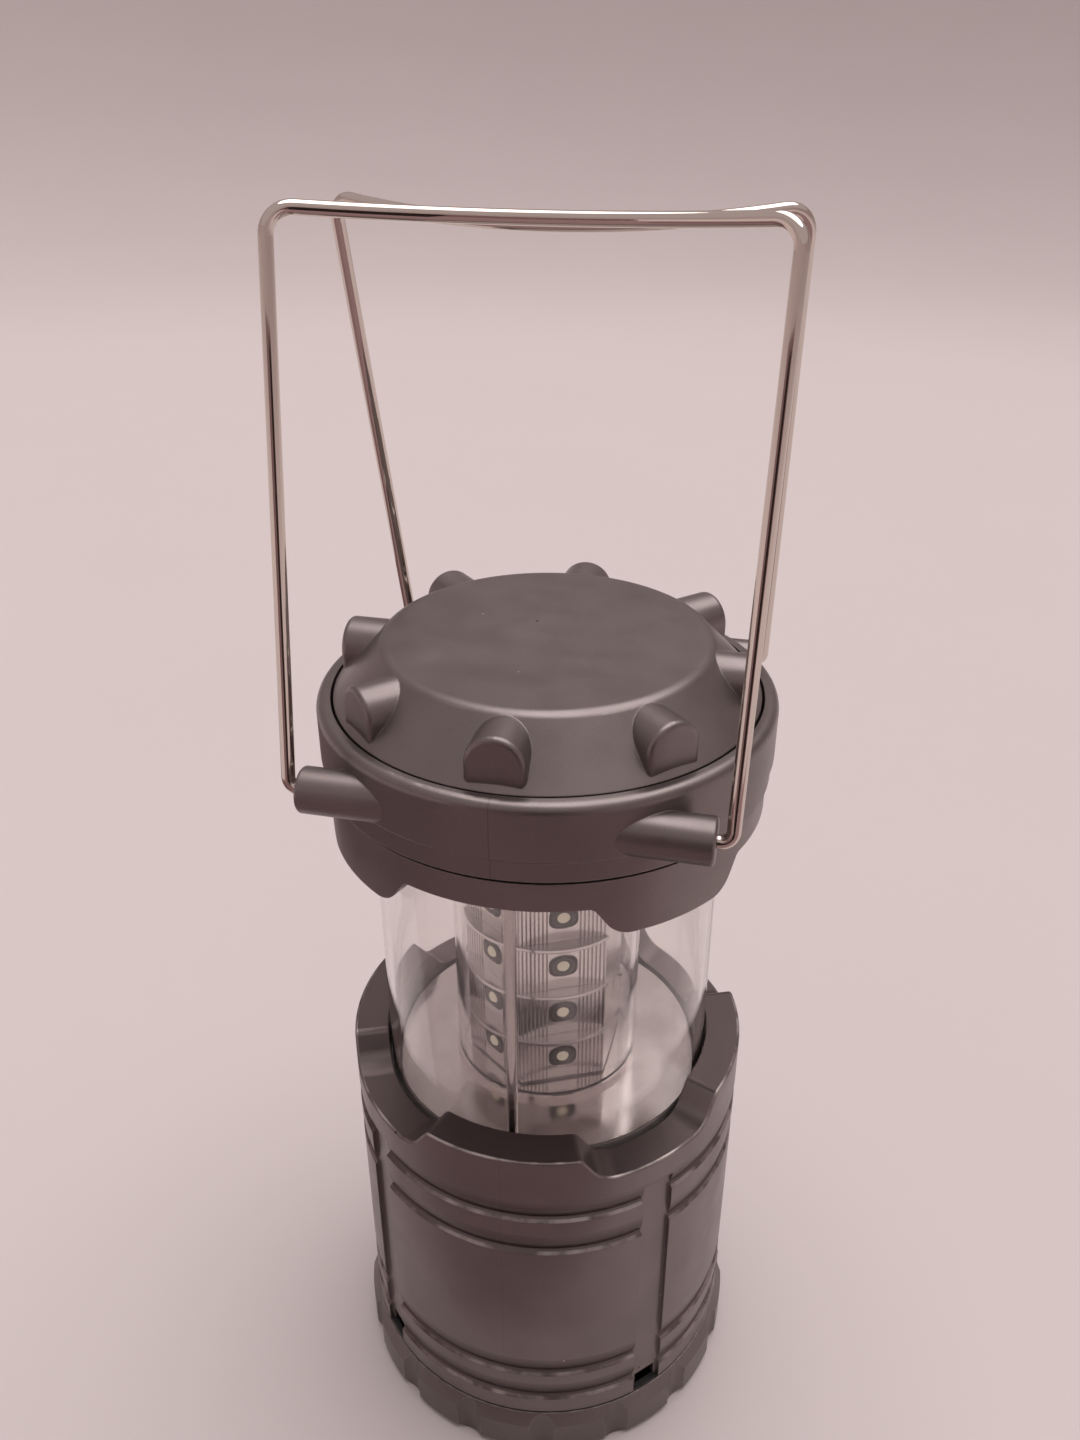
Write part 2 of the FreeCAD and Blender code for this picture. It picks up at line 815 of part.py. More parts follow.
def make_deck_screws():
    screws = []
    for index in range(LOCK_COUNT):
        item = screw(f"deck_screw_{index + 1}")
        x, y = polar(deck_screw_circle, FIRST_DECK_SCREW_ANGLE + index * 360.0 / LOCK_COUNT)
        screws.append(placed(item, x, y, deck_bottom, about("x", 180.0)))
    return group("deck_screws", screws)


# Lamp head, from the carrier up

nut_pocket = size.nut_radius + size.rod_clearance
rod_bore = size.rod_radius + size.rod_clearance
hub_radius = core_flat - size.board_gap
finger_start = flange_radius - size.finger_length


def make_carrier():
    body = turned_piece("carrier", [
        (0, carrier_bottom),
        (flange_radius, carrier_bottom),
        (flange_radius, flange_top),
        (spigot_radius, flange_top),
        (spigot_radius, carrier_top),
        (size.lens_radius, carrier_top),
        (size.lens_radius, land_top - size.mirror_thickness),
        (hub_radius, land_top - size.mirror_thickness),
        (hub_radius, core_bottom),
        (0, core_bottom),
    ])
    pocket_depth = size.nut_height + size.finger_thickness
    drilled(body, carrier_bottom, 0, -rod_circle, nut_pocket, pocket_depth, 2, back=True)
    drilled(body, carrier_bottom, 0, -rod_circle, rod_bore, size.carrier_height, 2, back=True)
    slot = new_sketch(body, "XY_Plane", carrier_bottom)
    half = strip_slot
    box(slot, finger_start - size.strip_clearance, -half, flange_radius + OVERLAP, half)
    around(body, pushed(body, slot, size.finger_thickness, "Pocket", back=True), 2)
    return body


def make_contact_fingers():
    """Flat fingers let into the underside of the carrier, one for each contact strip."""
    fingers = []
    for turn in (0.0, 180.0):
        body = new_body("contact_finger")
        sketch = new_sketch(body, "XY_Plane", carrier_bottom)
        half = size.strip_width / 2
        outer = flange_radius - size.strip_clearance * 2
        box(sketch, finger_start, -half, outer, half)
        pushed(body, sketch, size.finger_thickness)
        body.Placement = FreeCAD.Placement(FreeCAD.Vector(), about("z", turn))
        fingers.append(body)
    return group("contact_fingers", fingers)


def make_reflector_disc():
    """The mirror floor of the globe, raised to a land under the lens tube."""
    outer = spigot_radius - size.mirror_inset
    land = size.lens_radius + size.mirror_thickness
    body = turned_piece("reflector_disc", [
        (size.lens_radius, carrier_top),
        (outer, carrier_top),
        (outer, mirror_top),
        (land, mirror_top),
        (land, land_top),
        (core_flat, land_top),
        (core_flat, land_top - size.mirror_thickness),
        (size.lens_radius, land_top - size.mirror_thickness),
    ])
    drilled(body, carrier_top, 0, -rod_circle, rod_bore, size.mirror_thickness, 2, back=True)
    return body


def make_globe():
    flange = globe_radius + size.globe_flange
    step = crown_top - size.globe_flange_thickness
    return turned_piece("globe", [
        (globe_bore, flange_top),
        (globe_radius, flange_top),
        (globe_radius, step),
        (flange, step),
        (flange, crown_top),
        (globe_bore, crown_top),
    ])


def make_lens_tube():
    return turned_piece("lens_tube", [
        (lens_bore, land_top),
        (size.lens_radius, land_top),
        (size.lens_radius, ceiling_level),
        (lens_bore, ceiling_level),
    ])


def hexagon_corner(radius, bearing):
    """A corner of the core's hexagon, by its bearing from the front towards +X."""
    angle = math.radians(bearing)
    return radius * math.sin(angle), radius * -math.cos(angle)


def make_reflector(label, turn):
    """Half of the hexagonal core: two lamp faces with shelves, and half of each blank side."""
    body = new_body(label)
    shape = new_sketch(body, "XY_Plane", core_bottom)
    inner = core_radius - size.core_wall / math.cos(math.radians(LED_FACE_ANGLE))
    edge = -size.core_split / 2
    bearings = (HEXAGON_ANGLE, 0.0, -HEXAGON_ANGLE)
    outside = [hexagon_corner(core_radius, bearing) for bearing in bearings]
    inside = [hexagon_corner(inner, bearing) for bearing in reversed(bearings)]
    inner_flat = core_flat - size.core_wall
    outline(shape, [(core_flat, edge)] + outside + [(-core_flat, edge), (-inner_flat, edge)] + inside
            + [(inner_flat, edge)])
    pushed(body, shape, core_height)

    first_shelf = core_bottom + size.led_margin_low + led_pitch / 2 - size.shelf_thickness / 2
    shelf = new_sketch(body, "XY_Plane", first_shelf)
    reach = core_radius + size.shelf_reach
    middle = core_radius - size.core_wall / 2
    tips = [hexagon_corner(reach, bearing) for bearing in (HEXAGON_ANGLE, 0.0, -HEXAGON_ANGLE)]
    roots = [hexagon_corner(middle, bearing) for bearing in (-HEXAGON_ANGLE, 0.0, HEXAGON_ANGLE)]
    outline(shelf, [tips[0] + (reach,), tips[1] + (reach,), tips[2]] + roots)
    upward(body, pushed(body, shelf, size.shelf_thickness), LED_ROWS - 1, led_pitch)

    for face in (-LED_FACE_ANGLE, LED_FACE_ANGLE):
        opening = new_sketch(body, "XZ_Plane", turn=face)
        circle(opening, 0, core_bottom + size.led_margin_low, size.led_opening)
        hole = pushed(body, opening, core_radius, "Pocket", back=True)
        upward(body, hole, LED_ROWS, led_pitch)
    body.Placement = FreeCAD.Placement(FreeCAD.Vector(), about("z", CORE_TURN_ANGLE + turn))
    return body


def make_led_faces():
    """A circuit board behind each lamp face, with its column of lamps."""
    places = {"front_left": -LED_FACE_ANGLE, "front_right": LED_FACE_ANGLE,
              "back_right": 180.0 - LED_FACE_ANGLE, "back_left": LED_FACE_ANGLE - 180.0}
    for name, bearing in places.items():
        turn = about("z", CORE_TURN_ANGLE + bearing)
        board = new_body(f"led_board_{name}")
        sketch = new_sketch(board, "XY_Plane", core_bottom)
        half = size.board_width / 2
        box(sketch, -half, -board_face, half, size.board_thickness - board_face)
        pushed(board, sketch, core_height)
        board.Placement = FreeCAD.Placement(FreeCAD.Vector(), turn)
        yield board
        yield group(f"leds_{name}", [make_led(name, row, bearing) for row in range(LED_ROWS)])


def make_led(name, row, bearing):
    """One lamp: a round barrel with a domed end, on the face of its board."""
    barrel = size.led_length - size.led_radius / 2
    body = new_body(f"led_{name}_{row + 1}")
    sketch = new_sketch(body, "XZ_Plane")
    dome = (size.led_radius * size.led_radius + size.led_radius * size.led_radius / 4) / size.led_radius
    outline(sketch, [
        (0, size.led_length, dome),
        (size.led_radius, barrel),
        (size.led_radius, 0),
        (0, 0),
    ])
    turned(body, sketch)
    x, y = polar(board_face, CORE_TURN_ANGLE + bearing - 90.0)
    facing = about("z", CORE_TURN_ANGLE + bearing).multiply(about("x", 90.0))
    return placed(body, x, y, core_bottom + size.led_margin_low + led_pitch * row, facing)


def make_rods():
    nut_level = carrier_bottom + size.finger_thickness
    top = plate_top + size.nut_height
    for label, way in (("front_rod", -1), ("back_rod", 1)):
        rod = turned_piece(label, [
            (0, nut_level),
            (size.rod_radius, nut_level),
            (size.rod_radius, top),
            (0, top),
        ])
        yield placed(rod, 0, rod_circle * way, 0)


def make_rod_nuts():
    nuts = []
    for level in (carrier_bottom + size.finger_thickness, plate_top):
        for way in (-1, 1):
            body = new_body("rod_nut")
            sketch = new_sketch(body, "XY_Plane")
            outline(sketch, [hexagon_corner(size.nut_radius, index * HEXAGON_ANGLE) for index in range(6)])
            circle(sketch, 0, 0, rod_bore)
            pushed(body, sketch, size.nut_height)
            nuts.append(placed(body, 0, rod_circle * way, level))
    return group("rod_nuts", nuts)


# Crown ring, head plate and collar

def make_crown_ring():
    """The toothed ring that meshes with the tabs of the body, with a seat for the globe's flange."""
    seat = globe_radius + size.globe_flange + size.globe_fit / 2
    seat_level = crown_top - size.globe_flange_thickness
    body = turned_piece("crown_ring", [
        (rim_bore, crown_bottom),
        (crown_radius, crown_bottom),
        (crown_radius, crown_top),
        (seat, crown_top),
        (seat, seat_level),
        (rim_bore, seat_level),
    ])
    below = crown_bottom - OVERLAP
    for side in (-1, 1):
        recess = new_sketch(body, "XZ_Plane", turn=side * TAB_HALF_ANGLE)
        outline(recess, [
            (tab_reach * -side, crown_recess),
            (size.mesh_gap * side, crown_recess),
            ((size.mesh_gap + size.tab_slope) * side, crown_bottom),
            ((size.mesh_gap + size.tab_slope) * side, below),
            (tab_reach * -side, below),
        ])
        around(body, pushed(body, recess, crown_radius + OVERLAP, "Pocket", back=True), TAB_COUNT)
    rounded(body, size.tab_round, straight_at(crown_recess))
    rounded(body, size.tooth_round, straight_at(crown_bottom))
    x, y = polar(head_screw_circle, FIRST_SCREW_ANGLE)
    drilled(body, crown_top, x, y, screw_bore, size.screw_length, HEAD_SCREW_COUNT)
    return body


def make_head_plate():
    """The plate that clamps the globe: its lower step centres the globe and closes it with a ceiling."""
    well = driver_radius + size.driver_clearance
    well_floor = ceiling_level + size.plate_thickness
    body = turned_piece("head_plate", [
        (0, ceiling_level),
        (spigot_radius, ceiling_level),
        (spigot_radius, crown_top),
        (cap_radius, crown_top),
        (cap_radius, plate_top),
        (well, plate_top),
        (well, well_floor),
        (0, well_floor),
    ])
    drilled(body, plate_top, 0, -rod_circle, rod_bore, plate_top - ceiling_level, 2)
    x, y = polar(head_screw_circle, FIRST_SCREW_ANGLE)
    drilled(body, plate_top, x, y, screw_bore, size.plate_thickness, HEAD_SCREW_COUNT)
    return body


def make_driver_board():
    body = new_body("driver_board")
    board = new_sketch(body, "XY_Plane", ceiling_level + size.plate_thickness)
    circle(board, 0, 0, driver_radius)
    pushed(body, board, size.driver_thickness)
    return body


def make_driver_components():
    """Small cans that stand on the driver board."""
    cans = []
    level = ceiling_level + size.plate_thickness + size.driver_thickness
    for index in range(COMPONENT_COUNT):
        can = doc.addObject("Part::Cylinder", f"component_{index + 1}")
        can.setExpression("Radius", size.component_radius.formula)
        can.setExpression("Height", size.component_height.formula)
        x, y = polar(component_circle, FIRST_COMPONENT_ANGLE + index * 360.0 / COMPONENT_COUNT)
        cans.append(placed(can, x, y, level))
    return group("driver_components", cans)


def make_head_screws():
    screws = []
    for index in range(HEAD_SCREW_COUNT):
        item = screw(f"head_screw_{index + 1}")
        x, y = polar(head_screw_circle, FIRST_SCREW_ANGLE + index * 360.0 / HEAD_SCREW_COUNT)
        screws.append(placed(item, x, y, plate_top))
    return group("head_screws", screws)


def make_handle_collar():
    """The ring round the cap, with a lug across each corner for the end of a bail."""
    body = turned_piece("handle_collar", [
        (0, collar_bottom),
        (collar_radius - size.collar_step, collar_bottom),
        (collar_radius - size.collar_step, collar_bottom + size.collar_step_height - size.collar_step),
        (collar_radius, collar_bottom + size.collar_step_height),
        (collar_radius, collar_top),
        (0, collar_top),
    ])
    rounded(body, size.collar_round, ring_at(collar_radius, collar_top))
    ears = new_sketch(body, "YZ_Plane")
    circle(ears, -ear_offset, ear_level, size.ear_radius)
    circle(ears, ear_offset, ear_level, size.ear_radius)
    pushed(body, ears, ear_end * 2, both=True)

    def on_ear_end(edge):
        curve = edge.Curve
        return isinstance(curve, Part.Circle) and abs(abs(curve.Center.x) - ear_end.value) < TOLERANCE
    rounded(body, size.ear_round, on_ear_end)
    bore = new_sketch(body, "XZ_Plane")
    outline(bore, [
        (0, collar_bottom),
        (collar_bore, collar_bottom),
        (collar_bore, plate_top),
        (ledge_radius, plate_top),
        (ledge_radius, ledge_top),
        (collar_bore, ledge_top),
        (collar_bore, collar_top),
        (0, collar_top),
    ])
    turned(body, bore, "Groove")
    for side in (1, -1):
        pins = new_sketch(body, "YZ_Plane", ear_end * side)
        circle(pins, -ear_offset, ear_level, size.wire_radius + size.pin_clearance)
        circle(pins, ear_offset, ear_level, size.wire_radius + size.pin_clearance)
        pushed(body, pins, size.ear_bore_depth, "Pocket", back=side < 0)
    return body


def make_top_cap():
    """A shallow cone on a skirt, with a ring of arched nubs standing out of the cone."""
    body = turned_piece("top_cap", [
        (0, ledge_top),
        (cap_radius, ledge_top),
        (cap_radius, cap_edge),
        (cap_disc_radius, cap_top),
        (0, cap_top),
    ])
    rounded(body, size.cap_round, ring_at(cap_disc_radius, cap_top))
    crest = cap_top - size.nub_drop
    half = size.nub_width / 2
    shoulder = crest - half
    foot = shoulder - size.nub_straight
    arch = new_sketch(body, "XZ_Plane", nub_reach)
    outline(arch, [
        (half, shoulder),
        (half, foot),
        (-half, foot),
        (-half, shoulder, half),
        (0, crest, half),
    ])
    around(body, pushed(body, arch, size.nub_length, back=True), NUB_COUNT)

    def on_nub_face(edge):
        step = 2 * math.pi / NUB_COUNT
        ends = [edge.FirstParameter, edge.LastParameter]
        points = [edge.valueAt(item) for item in ends + [sum(ends) / 2]]
        middle = points[-1]
        bearing = round(math.atan2(middle.x, -middle.y) / step) * step
        reach = [point.x * math.sin(bearing) - point.y * math.cos(bearing) for point in points]
        level = all(abs(item - nub_reach.value) < TOLERANCE for item in reach)
        return level and isinstance(edge.Curve, (Part.Line, Part.Circle))
    rounded(body, size.nub_round, on_nub_face)
    inside = new_sketch(body, "XZ_Plane")
    ceiling = cap_top - size.cap_wall
    outline(inside, [
        (0, ledge_top),
        (cap_radius - size.cap_wall, ledge_top),
        (cap_radius - size.cap_wall, cap_edge - size.cap_wall / 2),
        (cap_disc_radius - size.cap_wall, ceiling),
        (0, ceiling),
    ])
    turned(body, inside, "Groove")
    return body


# Bails

def bend(before, corner, after, radius):
    """The arc that rounds a corner between two directions, with the points where it starts and ends."""
    way_in = FreeCAD.Vector(before).normalize()
    way_out = FreeCAD.Vector(after).normalize()
    turn = way_in.getAngle(way_out)
    run = radius * math.tan(turn / 2)
    start = corner - way_in * run
    end = corner + way_out * run
    inward = (way_out - way_in).normalize()
    middle = corner + inward * (radius / math.cos(turn / 2) - radius)
    return start, end, Part.Arc(start, middle, end).toShape()


def bail_path(pin_end):
    """One bent wire: a pin, a leg, a bar bowed out of the plane of the legs, and back again."""
    foot = FreeCAD.Vector(bail_foot.value, 0, 0)
    shoulder = FreeCAD.Vector(bail_shoulder.value, 0, size.bail_height.value)
    leg = shoulder - foot
    bow = math.radians(BOW_ANGLE)
    along_bar = FreeCAD.Vector(-math.cos(bow), math.sin(bow), 0)
    outwards = FreeCAD.Vector(1, 0, 0)
    pin_stop, leg_start, foot_bend = bend(outwards, foot, leg, size.bail_foot_bend.value)
    leg_stop, bar_start, corner_bend = bend(leg, shoulder, along_bar, size.bail_corner.value)
    bar_middle = FreeCAD.Vector(0, bar_start.y + bar_start.x * math.tan(bow / 2), bar_start.z)
    bar_stop = FreeCAD.Vector(-bar_start.x, bar_start.y, bar_start.z)
    half = [
        Part.LineSegment(FreeCAD.Vector(pin_end.value, 0, 0), pin_stop).toShape(),
        foot_bend,
        Part.LineSegment(leg_start, leg_stop).toShape(),
        corner_bend,
    ]
    middle = FreeCAD.Vector(0, 0, 0)
    sideways = FreeCAD.Vector(1, 0, 0)
    other_half = [edge.mirror(middle, sideways) for edge in half]
    bar = Part.Arc(bar_start, bar_middle, bar_stop).toShape()
    return Part.Wire(Part.__sortEdges__(half + [bar] + other_half))


def make_bail(label, turn, lean):
    """A wire bail: upright it bows towards the middle of the lantern, and at rest it leans there too."""
    pin_end = ear_end - size.ear_bore_depth + size.pin_end_gap
    path = doc.addObject("Part::Feature", f"{label}_path")
    path.Shape = bail_path(pin_end)
    section = doc.addObject("Part::Circle", f"{label}_section")
    section.setExpression("Radius", size.wire_radius.formula)
    placed(section, pin_end, 0, 0, about("y", 90.0))
    doc.recompute()
    bail = doc.addObject("Part::Sweep", label)
    bail.Sections = [section]
    bail.Spine = (path, [f"Edge{number + 1}" for number in range(len(path.Shape.Edges))])
    bail.Solid = True
    bail.Frenet = False
    tilt = about("z", turn).multiply(about("x", -lean))
    offset = ear_offset if turn else -ear_offset
    return placed(bail, 0, offset, ear_level, tilt)


# The whole lantern

pieces = [
    make_base_cap(),
    make_base_seal(),
    make_body_shell(),
    make_guide_sleeve(),
    make_battery_tray(),
    *make_batteries(),
    make_contact_plates(),
    make_contact_springs(),
    make_contact_strips(),
    make_deck_screws(),
    make_carrier(),
    make_contact_fingers(),
    make_reflector_disc(),
    make_globe(),
    make_lens_tube(),
    make_reflector("front_reflector", 0.0),
    make_reflector("back_reflector", 180.0),
    *make_led_faces(),
    *make_rods(),
    make_rod_nuts(),
    make_crown_ring(),
    make_head_plate(),
    make_driver_board(),
    make_driver_components(),
    make_head_screws(),
    make_handle_collar(),
    make_top_cap(),
    make_bail("front_bail", 0.0, FRONT_LEAN_ANGLE),
    make_bail("back_bail", 180.0, BACK_LEAN_ANGLE),
]
doc.recompute()

for item in doc.Objects:
    if "Invalid" in item.State or "Error" in item.State:
        raise RuntimeError(f"{item.Name} failed to build")
for piece in pieces:
    if piece.Shape.isNull() or not piece.Shape.isValid():
        raise RuntimeError(f"{piece.Label} has no valid shape")

os.makedirs("parts", exist_ok=True)
for piece in pieces:
    piece.Shape.exportStep(f"parts/{piece.Label}.step")
    low = piece.Shape.BoundBox
    print(f"{piece.Label}: {len(piece.Shape.Solids)} solids, {piece.Shape.Volume:.0f} mm3,"
          f" z {low.ZMin:.2f} to {low.ZMax:.2f}")
print(f"travel {travel.value:.2f} mm, height {cap_top.value:.2f} mm")
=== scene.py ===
# %% [markdown]
# Pop-up camping lantern: the looks.
# The lantern is a painted drum that a lamp head slides out of. Its shapes are solids made elsewhere, at real
# size, so this lesson dresses them: a finish for every surface, and the small parts that belong to the looks.
# Loading the solids first, and never moving them, keeps each finish in the place where the real one is.

# %% Load the solids
import math

import bmesh
import bpy
from mathutils import Matrix, Vector


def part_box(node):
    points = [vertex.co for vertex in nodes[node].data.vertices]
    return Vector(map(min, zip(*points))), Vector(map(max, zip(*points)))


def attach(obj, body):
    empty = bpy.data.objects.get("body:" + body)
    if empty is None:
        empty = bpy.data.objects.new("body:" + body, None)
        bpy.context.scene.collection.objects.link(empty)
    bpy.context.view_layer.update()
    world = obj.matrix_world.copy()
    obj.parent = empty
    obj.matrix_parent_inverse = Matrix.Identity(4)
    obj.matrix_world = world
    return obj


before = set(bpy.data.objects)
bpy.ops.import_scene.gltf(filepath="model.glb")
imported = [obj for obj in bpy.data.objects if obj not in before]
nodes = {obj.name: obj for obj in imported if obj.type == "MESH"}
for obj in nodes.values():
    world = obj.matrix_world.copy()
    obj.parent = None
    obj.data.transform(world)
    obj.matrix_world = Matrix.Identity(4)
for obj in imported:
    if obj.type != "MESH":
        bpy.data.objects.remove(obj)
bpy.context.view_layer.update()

MM = 0.001
scene = bpy.context.scene
scene.view_settings.view_transform = "Standard"

# %% [markdown]
# The camera stands close, above and a little to the right, so near parts look large and the drum narrows
# downwards. A real lens close by does this, and an orthographic view could not show it. The place comes from
# the round edges of the lantern: their ellipses give the height and the distance that they were seen from.

# %% Camera
CAMERA_PLACE = Vector((44.5, -197.5, 277.8)) * MM
CAMERA_DOWN = math.radians(28.956)
CAMERA_TURN = math.radians(13.1)
CAMERA_ROLL = math.radians(-0.15)
CAMERA_LENS = 30.0
CAMERA_NEAREST = 10.0 * MM

camera_data = bpy.data.cameras.new("camera")
camera_data.lens = CAMERA_LENS
camera_data.clip_start = CAMERA_NEAREST
camera = bpy.data.objects.new("camera", camera_data)
scene.collection.objects.link(camera)
tilt = Matrix.Rotation(math.pi / 2 - CAMERA_DOWN, 4, "X")
camera.matrix_world = (Matrix.Translation(CAMERA_PLACE) @ Matrix.Rotation(CAMERA_TURN, 4, "Z") @ tilt
                       @ Matrix.Rotation(CAMERA_ROLL, 4, "Z"))
scene.camera = camera
print("camera stands", round(CAMERA_PLACE.length / MM), "mm from the foot of the lantern")

# %% [markdown]
# A finish in Blender is a small graph of nodes. These helpers add one node, join two, and start a finish with
# its shader, so that each finish below reads as a short list of what the surface shows.
# Patterns read Object coordinates, which are metres here: a scale of 1000 repeats once every millimetre.

# %% Helpers that build a finish
def add(tree, kind, **values):
    """Adds a node and sets its sockets or settings by name; an underscore stands for a space."""
    node = tree.nodes.new("ShaderNode" + kind)
    for name, value in values.items():
        socket = node.inputs.get(name.replace("_", " "))
        if socket is not None:
            socket.default_value = value
        else:
            setattr(node, name, value)
    return node


def join(tree, source, target):
    """Joins an output to an input."""
    tree.links.new(target, source)


def start_finish(name, colour, roughness, metallic=0.0):
    """A new finish: the material, its node tree, its shader and the place on the surface."""
    finish = bpy.data.materials.new(name)
    finish.use_nodes = True
    tree = finish.node_tree
    shader = tree.nodes["Principled BSDF"]
    shader.inputs["Base Color"].default_value = (*colour, 1.0)
    shader.inputs["Roughness"].default_value = roughness
    shader.inputs["Metallic"].default_value = metallic
    place = add(tree, "TexCoord").outputs["Object"]
    return finish, tree, shader, place


print("ready to build finishes")

# %% [markdown]
# No real surface is even, so every finish needs patterns: clouds of two tones, dots of dust, and sums that stretch
# or combine them. A painted picture could give these too, but it blurs close by and has to be wrapped round each
# piece, while noise and cells are sharp at any distance and fill space.

# %% Helpers for patterns
EMPTY_SHARE = 0.66


def cloudy(tree, place, scale, detail=2.0, stretch=None):
    """A cloudy pattern from 0 to 1, drawn out along an axis if wanted."""
    if stretch is not None:
        mapping = add(tree, "Mapping", Scale=stretch)
        join(tree, place, mapping.inputs["Vector"])
        place = mapping.outputs["Vector"]
    noise = add(tree, "TexNoise", Scale=scale, Detail=detail)
    join(tree, place, noise.inputs["Vector"])
    return noise.outputs["Fac"]


def spread(tree, source, low, high, new_low=0.0, new_high=1.0):
    """Stretches the values between low and high over a new range."""
    node = add(tree, "MapRange", From_Min=low, From_Max=high, To_Min=new_low, To_Max=new_high)
    join(tree, source, node.inputs["Value"])
    return node.outputs["Result"]


def sums(tree, way, one, two):
    """One step of arithmetic on two values, either of them a number."""
    node = add(tree, "Math", operation=way)
    for socket, value in zip(node.inputs, (one, two)):
        if isinstance(value, (int, float)):
            socket.default_value = value
        else:
            join(tree, value, socket)
    return node.outputs[0]


def specks(tree, place, scale, size):
    """A factor that is 1 in small scattered dots, in about a third of the cells of the pattern."""
    cells = add(tree, "TexVoronoi", Scale=scale)
    join(tree, place, cells.inputs["Vector"])
    lottery = add(tree, "SeparateColor")
    join(tree, cells.outputs["Color"], lottery.inputs["Color"])
    near = sums(tree, "LESS_THAN", cells.outputs["Distance"], size)
    drawn = sums(tree, "GREATER_THAN", lottery.outputs["Red"], EMPTY_SHARE)
    return sums(tree, "MULTIPLY", near, drawn)


print("ready to draw patterns, with dots in", round(1 - EMPTY_SHARE, 2), "of the cells")

# %% [markdown]
# A pattern becomes visible as a colour or as relief. Two colours can be blended by a pattern, or one can be laid over
# another like a second coat. Relief that is too fine to model is a bump, and a sharp edge is rolled by shading
# only, because the solids may not be changed.

# %% Helpers for colour and relief
def shades(tree, factor, dark, light):
    """A colour between two, by a factor from 0 to 1."""
    ramp = add(tree, "ValToRGB")
    for stop, colour in zip(ramp.color_ramp.elements, (dark, light)):
        stop.color = (*colour, 1.0)
    join(tree, factor, ramp.inputs["Fac"])
    return ramp.outputs["Color"]


def over(tree, factor, under, upper):
    """Lays one colour over another where the factor is high."""
    mix = add(tree, "Mix", data_type="RGBA")
    join(tree, factor, mix.inputs["Factor"])
    join(tree, under, mix.inputs[6])
    mix.inputs[7].default_value = (*upper, 1.0)
    return mix.outputs[2]


def bumpy(tree, shader, height, depth, strength=1.0, base=None):
    """Gives the surface small hills, with depth in metres."""
    bump = add(tree, "Bump", Strength=strength, Distance=depth)
    join(tree, height, bump.inputs["Height"])
    if base is not None:
        join(tree, base, bump.inputs["Normal"])
    join(tree, bump.outputs["Normal"], shader.inputs["Normal"])


def soft_edges(tree, radius):
    """Shading that rolls over an edge, as a moulded one does."""
    return add(tree, "Bevel", Radius=radius, samples=4).outputs["Normal"]


print("ready to colour and to emboss")

# %% [markdown]
# Wear, dirt and painted shade follow the shape: edges rub first, and what faces up catches more than what faces down.
# Painting masks by hand could show this for one size of lantern. Helpers that feel edges, height and lean
# keep working when the solids change.

# %% Helpers that feel the shape
EDGE_NONE = 0.995
EDGE_FULL = 0.80


def edges(tree, radius):
    """A factor that is high near sharp edges, where paint wears."""
    rolled = soft_edges(tree, radius)
    flat = add(tree, "NewGeometry").outputs["Normal"]
    dot = add(tree, "VectorMath", operation="DOT_PRODUCT")
    join(tree, rolled, dot.inputs[0])
    join(tree, flat, dot.inputs[1])
    return spread(tree, dot.outputs["Value"], EDGE_NONE, EDGE_FULL)


def parts_of(tree, vector):
    """The x, y and z of a vector."""
    node = add(tree, "SeparateXYZ")
    join(tree, vector, node.inputs["Vector"])
    return node.outputs


def lean(tree):
    """How far a surface faces up (towards 1) or down (towards -1)."""
    return parts_of(tree, add(tree, "NewGeometry").outputs["Normal"])["Z"]


print("ready to feel edges, height and lean")

# %% [markdown]
# The drum shows two marks of its making and use, and painted shade. The crown knocks the outer edge of the rim bare
# in patches, a hair line up the front and the back shows where the two halves of a mould met, and the top of the rim
# and the bands are painted darker as shade. Each is a factor that the paint uses below.

# %% Marks and painted shade on the drum
RIM_FROM = 85.0 * MM
RIM_WEAR_FROM = 41.75 * MM
RIM_WEAR_BLUR = 0.15 * MM
RIM_PATCHES = 190.0
PARTING_WIDTH = 0.14 * MM


def worn_rim(tree, place):
    """A factor that is high in patches on the outer edge of the drum's rim."""
    outwards = add(tree, "VectorMath", operation="LENGTH")
    flat = add(tree, "Mapping", Scale=(1.0, 1.0, 0.0))
    join(tree, place, flat.inputs["Vector"])
    join(tree, flat.outputs["Vector"], outwards.inputs[0])
    outer = spread(tree, outwards.outputs["Value"], RIM_WEAR_FROM, RIM_WEAR_FROM + RIM_WEAR_BLUR)
    on_edge = sums(tree, "MULTIPLY", outer, spread(tree, lean(tree), 0.25, 0.50))
    patches = spread(tree, cloudy(tree, place, RIM_PATCHES, 4.0), 0.40, 0.62)
    return sums(tree, "MULTIPLY", on_edge, patches)


def drum_painted_shade(tree, place):
    """Painted shade: a factor that is high on top of the rim and in the bands of the drum, where the paint is
    darkened.
    """
    height = parts_of(tree, place)["Z"]
    on_rim = sums(tree, "GREATER_THAN", height, RIM_FROM)
    on_top = sums(tree, "MULTIPLY", on_rim, spread(tree, lean(tree), 0.75, 0.95))
    on_wall = sums(tree, "LESS_THAN", height, RIM_FROM)
    on_step = sums(tree, "MULTIPLY", on_wall, spread(tree, lean(tree), 0.15, 0.50, 0.0, 0.6))
    on_roll = spread(tree, lean(tree), -0.01, -0.15)
    return sums(tree, "MAXIMUM", on_top, sums(tree, "MAXIMUM", on_roll, on_step))


def parting_line(tree, place):
    """A factor that is 1 in a hair line up the front and the back."""
    across = sums(tree, "ABSOLUTE", parts_of(tree, place)["X"], 0.0)
    return spread(tree, across, PARTING_WIDTH, PARTING_WIDTH * 0.4)


print("rim wear starts", round(RIM_WEAR_FROM / MM, 2), "mm from the axis, the rim at", round(RIM_FROM / MM), "mm")

